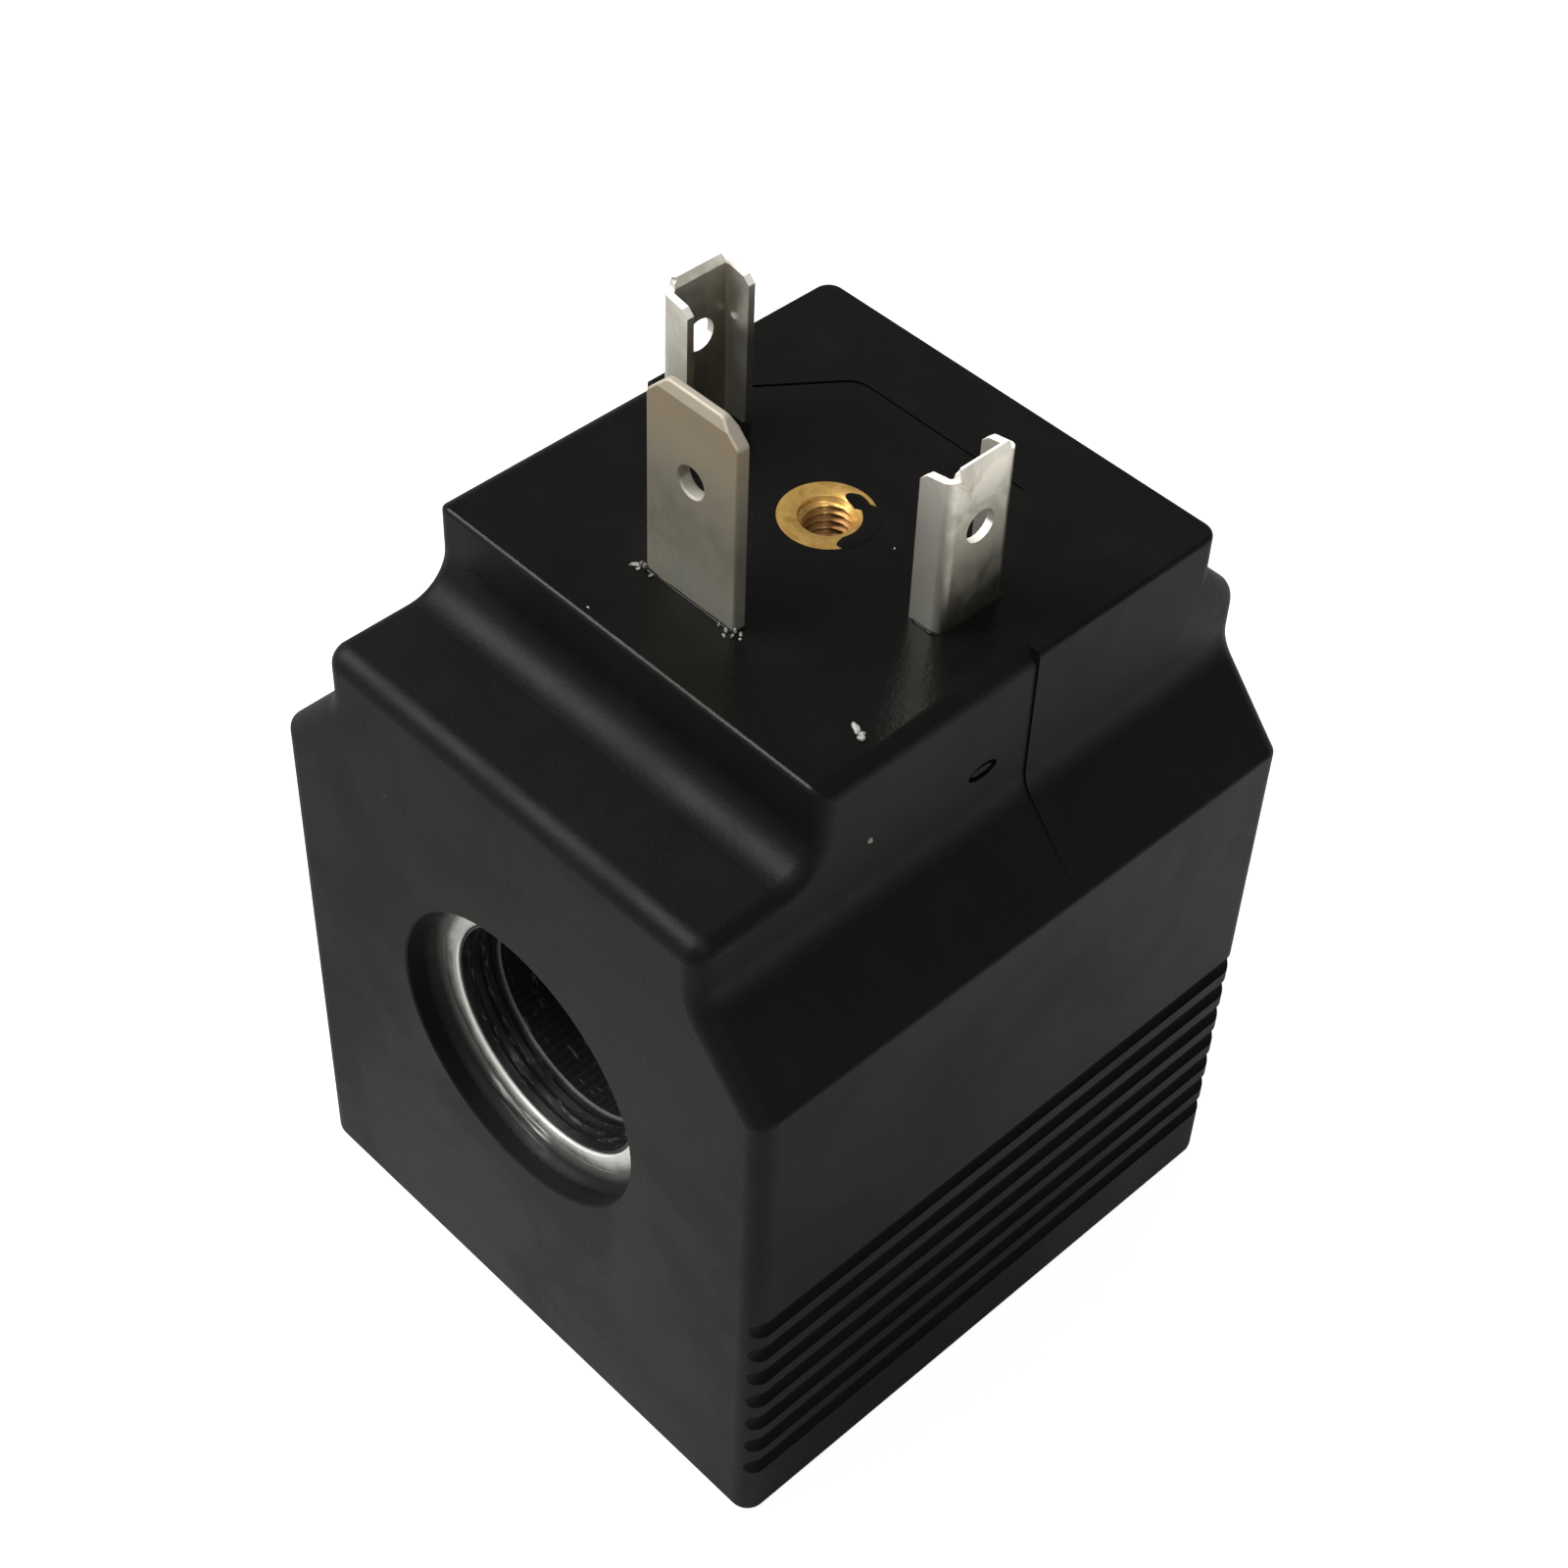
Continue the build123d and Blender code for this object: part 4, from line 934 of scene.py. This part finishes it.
def lumps(centres, sizes, seed, rows=11, columns=18):
    """Ball points times size, with radius 1 + sines of both angles; the first axis counts the lumps."""
    centres, sizes = np.array(centres, dtype=float), np.array(sizes, dtype=float)
    chance = np.random.default_rng(seed)
    polar = np.linspace(POLE_GAP, np.pi - POLE_GAP, rows)[None, :, None]
    round_ = np.linspace(0, 2 * np.pi, columns, endpoint=False)[None, None, :]
    phase = chance.uniform(0, 2 * np.pi, (4, len(centres), 1, 1))
    waves = 0.26 * np.sin(2 * round_ + phase[0]) + 0.16 * np.sin(3 * round_ + phase[1])
    waves = waves + 0.07 * np.sin(5 * round_ + phase[3])
    swell = 1 + waves * np.sin(polar) + 0.14 * np.sin(3 * polar + phase[2])
    ball = np.stack([swell * np.sin(polar) * np.cos(round_), swell * np.sin(polar) * np.sin(round_),
                     swell * np.cos(polar) + 0 * round_], axis=-1)
    flake = ball * sizes[:, None, None, :]
    turn = chance.uniform(0, np.pi, (len(centres), 1, 1))
    turned = np.stack([flake[..., 0] * np.cos(turn) - flake[..., 1] * np.sin(turn),
                       flake[..., 0] * np.sin(turn) + flake[..., 1] * np.cos(turn), flake[..., 2]], axis=-1)
    points = centres[:, None, None, :] + turned
    one = grid_faces(rows, columns, False, True)
    first = np.arange(len(centres))[:, None] * rows * columns
    faces = (first[:, :, None] + one[None]).reshape(-1, 4).tolist()
    tops = (first + np.arange(columns)).tolist()
    feet = (first + (rows - 1) * columns + np.arange(columns)[::-1]).tolist()
    return points, faces + tops + feet


BLADE_CRUMBS = [
    ((-3.60, -7.15), (0.26, 0.13, 0.08)), ((-3.42, -6.98), (0.17, 0.12, 0.16)),
    ((-3.12, -7.00), (0.12, 0.09, 0.24)), ((-2.50, -7.16), (0.15, 0.09, 0.08)),
    ((-3.30, -7.28), (0.15, 0.10, 0.05)), ((-3.78, -7.30), (0.12, 0.08, 0.05)),
    ((2.30, -7.06), (0.13, 0.09, 0.11)), ((3.02, -7.42), (0.17, 0.10, 0.06)),
    ((2.86, -7.12), (0.15, 0.10, 0.16)), ((3.20, -6.85), (0.10, 0.09, 0.18)),
    ((3.50, -6.75), (0.18, 0.09, 0.06)), ((3.34, -7.16), (0.13, 0.09, 0.10)),
    ((3.72, -7.00), (0.10, 0.07, 0.05)),
]
LOOSE_CHIPS = [
    ((11.80, -7.16, FACE_Z + 0.07), (0.30, 0.19, 0.12)),
    ((12.38, -7.38, FACE_Z + 0.07), (0.28, 0.21, 0.12)),
    ((12.12, -7.10, FACE_Z + 0.02), (0.18, 0.08, 0.05)),
    ((-2.85, -10.95, FACE_Z + 0.02), (0.07, 0.06, 0.04)),
    ((4.06, 3.22, FACE_Z + 0.02), (0.06, 0.06, 0.04)),
    ((14.00, -8.04, 44.12), (0.15, 0.15, 0.15)),
]
CRUMB_SUNK = 0.55


def make_chip_material(name, pale, dark):
    """Broken resin and tin: pale where it is torn, darker in its hollows."""
    material, tree, shader, place = start_material(name, specular=0.4)
    grain = use_group(tree, GRAIN, place, Grain_Size=7000.0, Wave_Size=1600.0, Wave_Share=0.8)
    tree.links.new(mix_colour(tree, ramp(tree, grain.outputs["Height"], 0.5, 1.2), dark, pale),
                   shader.inputs["Base Color"])
    smudge = use_group(tree, SMUDGE, place, Cloud_Size=2500.0, Clean=0.4, Smeared=0.7)
    tree.links.new(smudge.outputs["Roughness"], shader.inputs["Roughness"])
    set_bump(tree, shader, grain.outputs["Height"], 0.03)
    return material


chip_finish = make_chip_material("torn_flash", (0.44, 0.43, 0.40), (0.14, 0.135, 0.12))
crumb_finish = make_chip_material("torn_tin", (0.30, 0.295, 0.27), (0.07, 0.068, 0.06))
crumb_places = [(x, y, FACE_Z + size[2] * CRUMB_SUNK) for (x, y), size in BLADE_CRUMBS]
crumbs = lumps(crumb_places, [size for _, size in BLADE_CRUMBS], 31, rows=5, columns=7)
mesh_piece("blade_foot_crumbs", *crumbs, crumb_finish, "tinned_brass", sharp_above=12.0)
chips = lumps([place for place, _ in LOOSE_CHIPS], [size for _, size in LOOSE_CHIPS], 32)
mesh_piece("loose_chips", *chips, chip_finish, "black_resin", sharp_above=70.0)

# %% [markdown]
# ## Floor
# The floor is a pale plane that covers the whole view. What the camera sees of it is lifted to white,
# while it still darkens a little under the object. Black resin is only seen by what it mirrors. In the
# photo the front face is brightest low down and the right face grows brighter towards the back, so
# reflections see a floor that glows close to the block's front and again behind it. Cards could do the
# same, but they would show in the bore.

# %% Floor
GLOW_CENTRE, GLOW_NEAR, GLOW_FAR = (-4.0, -24.0, 0.0), 6.0, 34.0
BACK_NEAR, BACK_FAR = 5.0, 80.0
PLAIN_GLOW, FRONT_GLOW, BACK_GLOW, CAMERA_WHITE = 0.02, 0.34, 0.60, 0.85
FLOOR_HALF, FLOOR_DROP = 1500.0, 0.05


def make_floor():
    """One wide square just under the object."""
    signs = ((-1, -1), (1, -1), (1, 1), (-1, 1))
    corners = [(x * FLOOR_HALF * MM, y * FLOOR_HALF * MM, -FLOOR_DROP * MM) for x, y in signs]
    mesh = bpy.data.meshes.new("floor")
    mesh.from_pydata(corners, [], [(0, 1, 2, 3)])
    floor = bpy.data.objects.new("floor", mesh)
    scene_collection.objects.link(floor)
    material, tree, shader, place = start_material("floor_paper", specular=0.1)
    shader.inputs["Base Color"].default_value = (0.50, 0.495, 0.48, 1.0)
    shader.inputs["Roughness"].default_value = 0.8
    shader.inputs["Emission Color"].default_value = (1.0, 1.0, 1.0, 1.0)
    paths = tree.nodes.new("ShaderNodeLightPath")
    away = node(tree, "ShaderNodeVectorMath", {"operation": "DISTANCE"})
    tree.links.new(place, away.inputs[0])
    away.inputs[1].default_value = [v * MM for v in GLOW_CENTRE]
    near = ramp(tree, away.outputs["Value"], GLOW_FAR * MM, GLOW_NEAR * MM)
    parts = split_axes(tree, place)
    behind = ramp(tree, math_node(tree, "ADD", parts["X"], parts["Y"]), BACK_NEAR * MM, BACK_FAR * MM)
    glow = math_node(tree, "ADD", times(tree, near, FRONT_GLOW), times(tree, behind, BACK_GLOW))
    mirrored = math_node(tree, "ADD", glow, PLAIN_GLOW)
    other = math_node(tree, "MAXIMUM", paths.outputs["Is Glossy Ray"], paths.outputs["Is Transmission Ray"])
    seen = times(tree, paths.outputs["Is Camera Ray"], CAMERA_WHITE)
    strength = math_node(tree, "ADD", seen, times(tree, other, mirrored))
    tree.links.new(strength, shader.inputs["Emission Strength"])
    floor.data.materials.append(material)
    return floor


floor = make_floor()
print("floor reaches", FLOOR_HALF, "mm each way")

# %% [markdown]
# ## Lamps and world
# A large soft lamp stands high on the left front, and a weaker one near the camera opens the shadows. A
# picture of a studio could light the part too, but two area lamps and an even world are easier to aim.
# They stay at a plain level, at which a colour renders about as it is written, and the world is white
# only to the camera.

# %% Lamps and world
MIDDLE = (0, 0, 30)
WORLD_PLAIN, WORLD_LIFT = 0.30, 0.70


def soft_box(name, place_mm, aim_mm, size_mm, power):
    """A square area lamp that looks at a point."""
    lamp = bpy.data.lights.new(name, "AREA")
    lamp.size = size_mm * MM
    lamp.energy = power
    obj = bpy.data.objects.new(name, lamp)
    place, aim = Vector(place_mm) * MM, Vector(aim_mm) * MM
    turn = (aim - place).to_track_quat("-Z", "Y").to_matrix().to_4x4()
    obj.matrix_world = Matrix.Translation(place) @ turn
    scene_collection.objects.link(obj)
    print(name, "stands at", place_mm, "with", power, "W")
    return obj


def make_world():
    """An even, faintly warm light from all round, lifted to white where the camera sees it."""
    world = bpy.data.worlds.new("studio")
    bpy.context.scene.world = world
    world.use_nodes = True
    tree = world.node_tree
    background = tree.nodes["Background"]
    background.inputs["Color"].default_value = (1.0, 0.99, 0.97, 1.0)
    seen = tree.nodes.new("ShaderNodeLightPath").outputs["Is Camera Ray"]
    strength = math_node(tree, "ADD", times(tree, seen, WORLD_LIFT), WORLD_PLAIN)
    tree.links.new(strength, background.inputs["Strength"])
    return world


soft_box("key_left_front", (-315, -265, 510), MIDDLE, 390, 5.4)
soft_box("fill_near_camera", (380, -300, 620), MIDDLE, 260, 1.0)
make_world()
bpy.context.scene.view_settings.view_transform = "Standard"
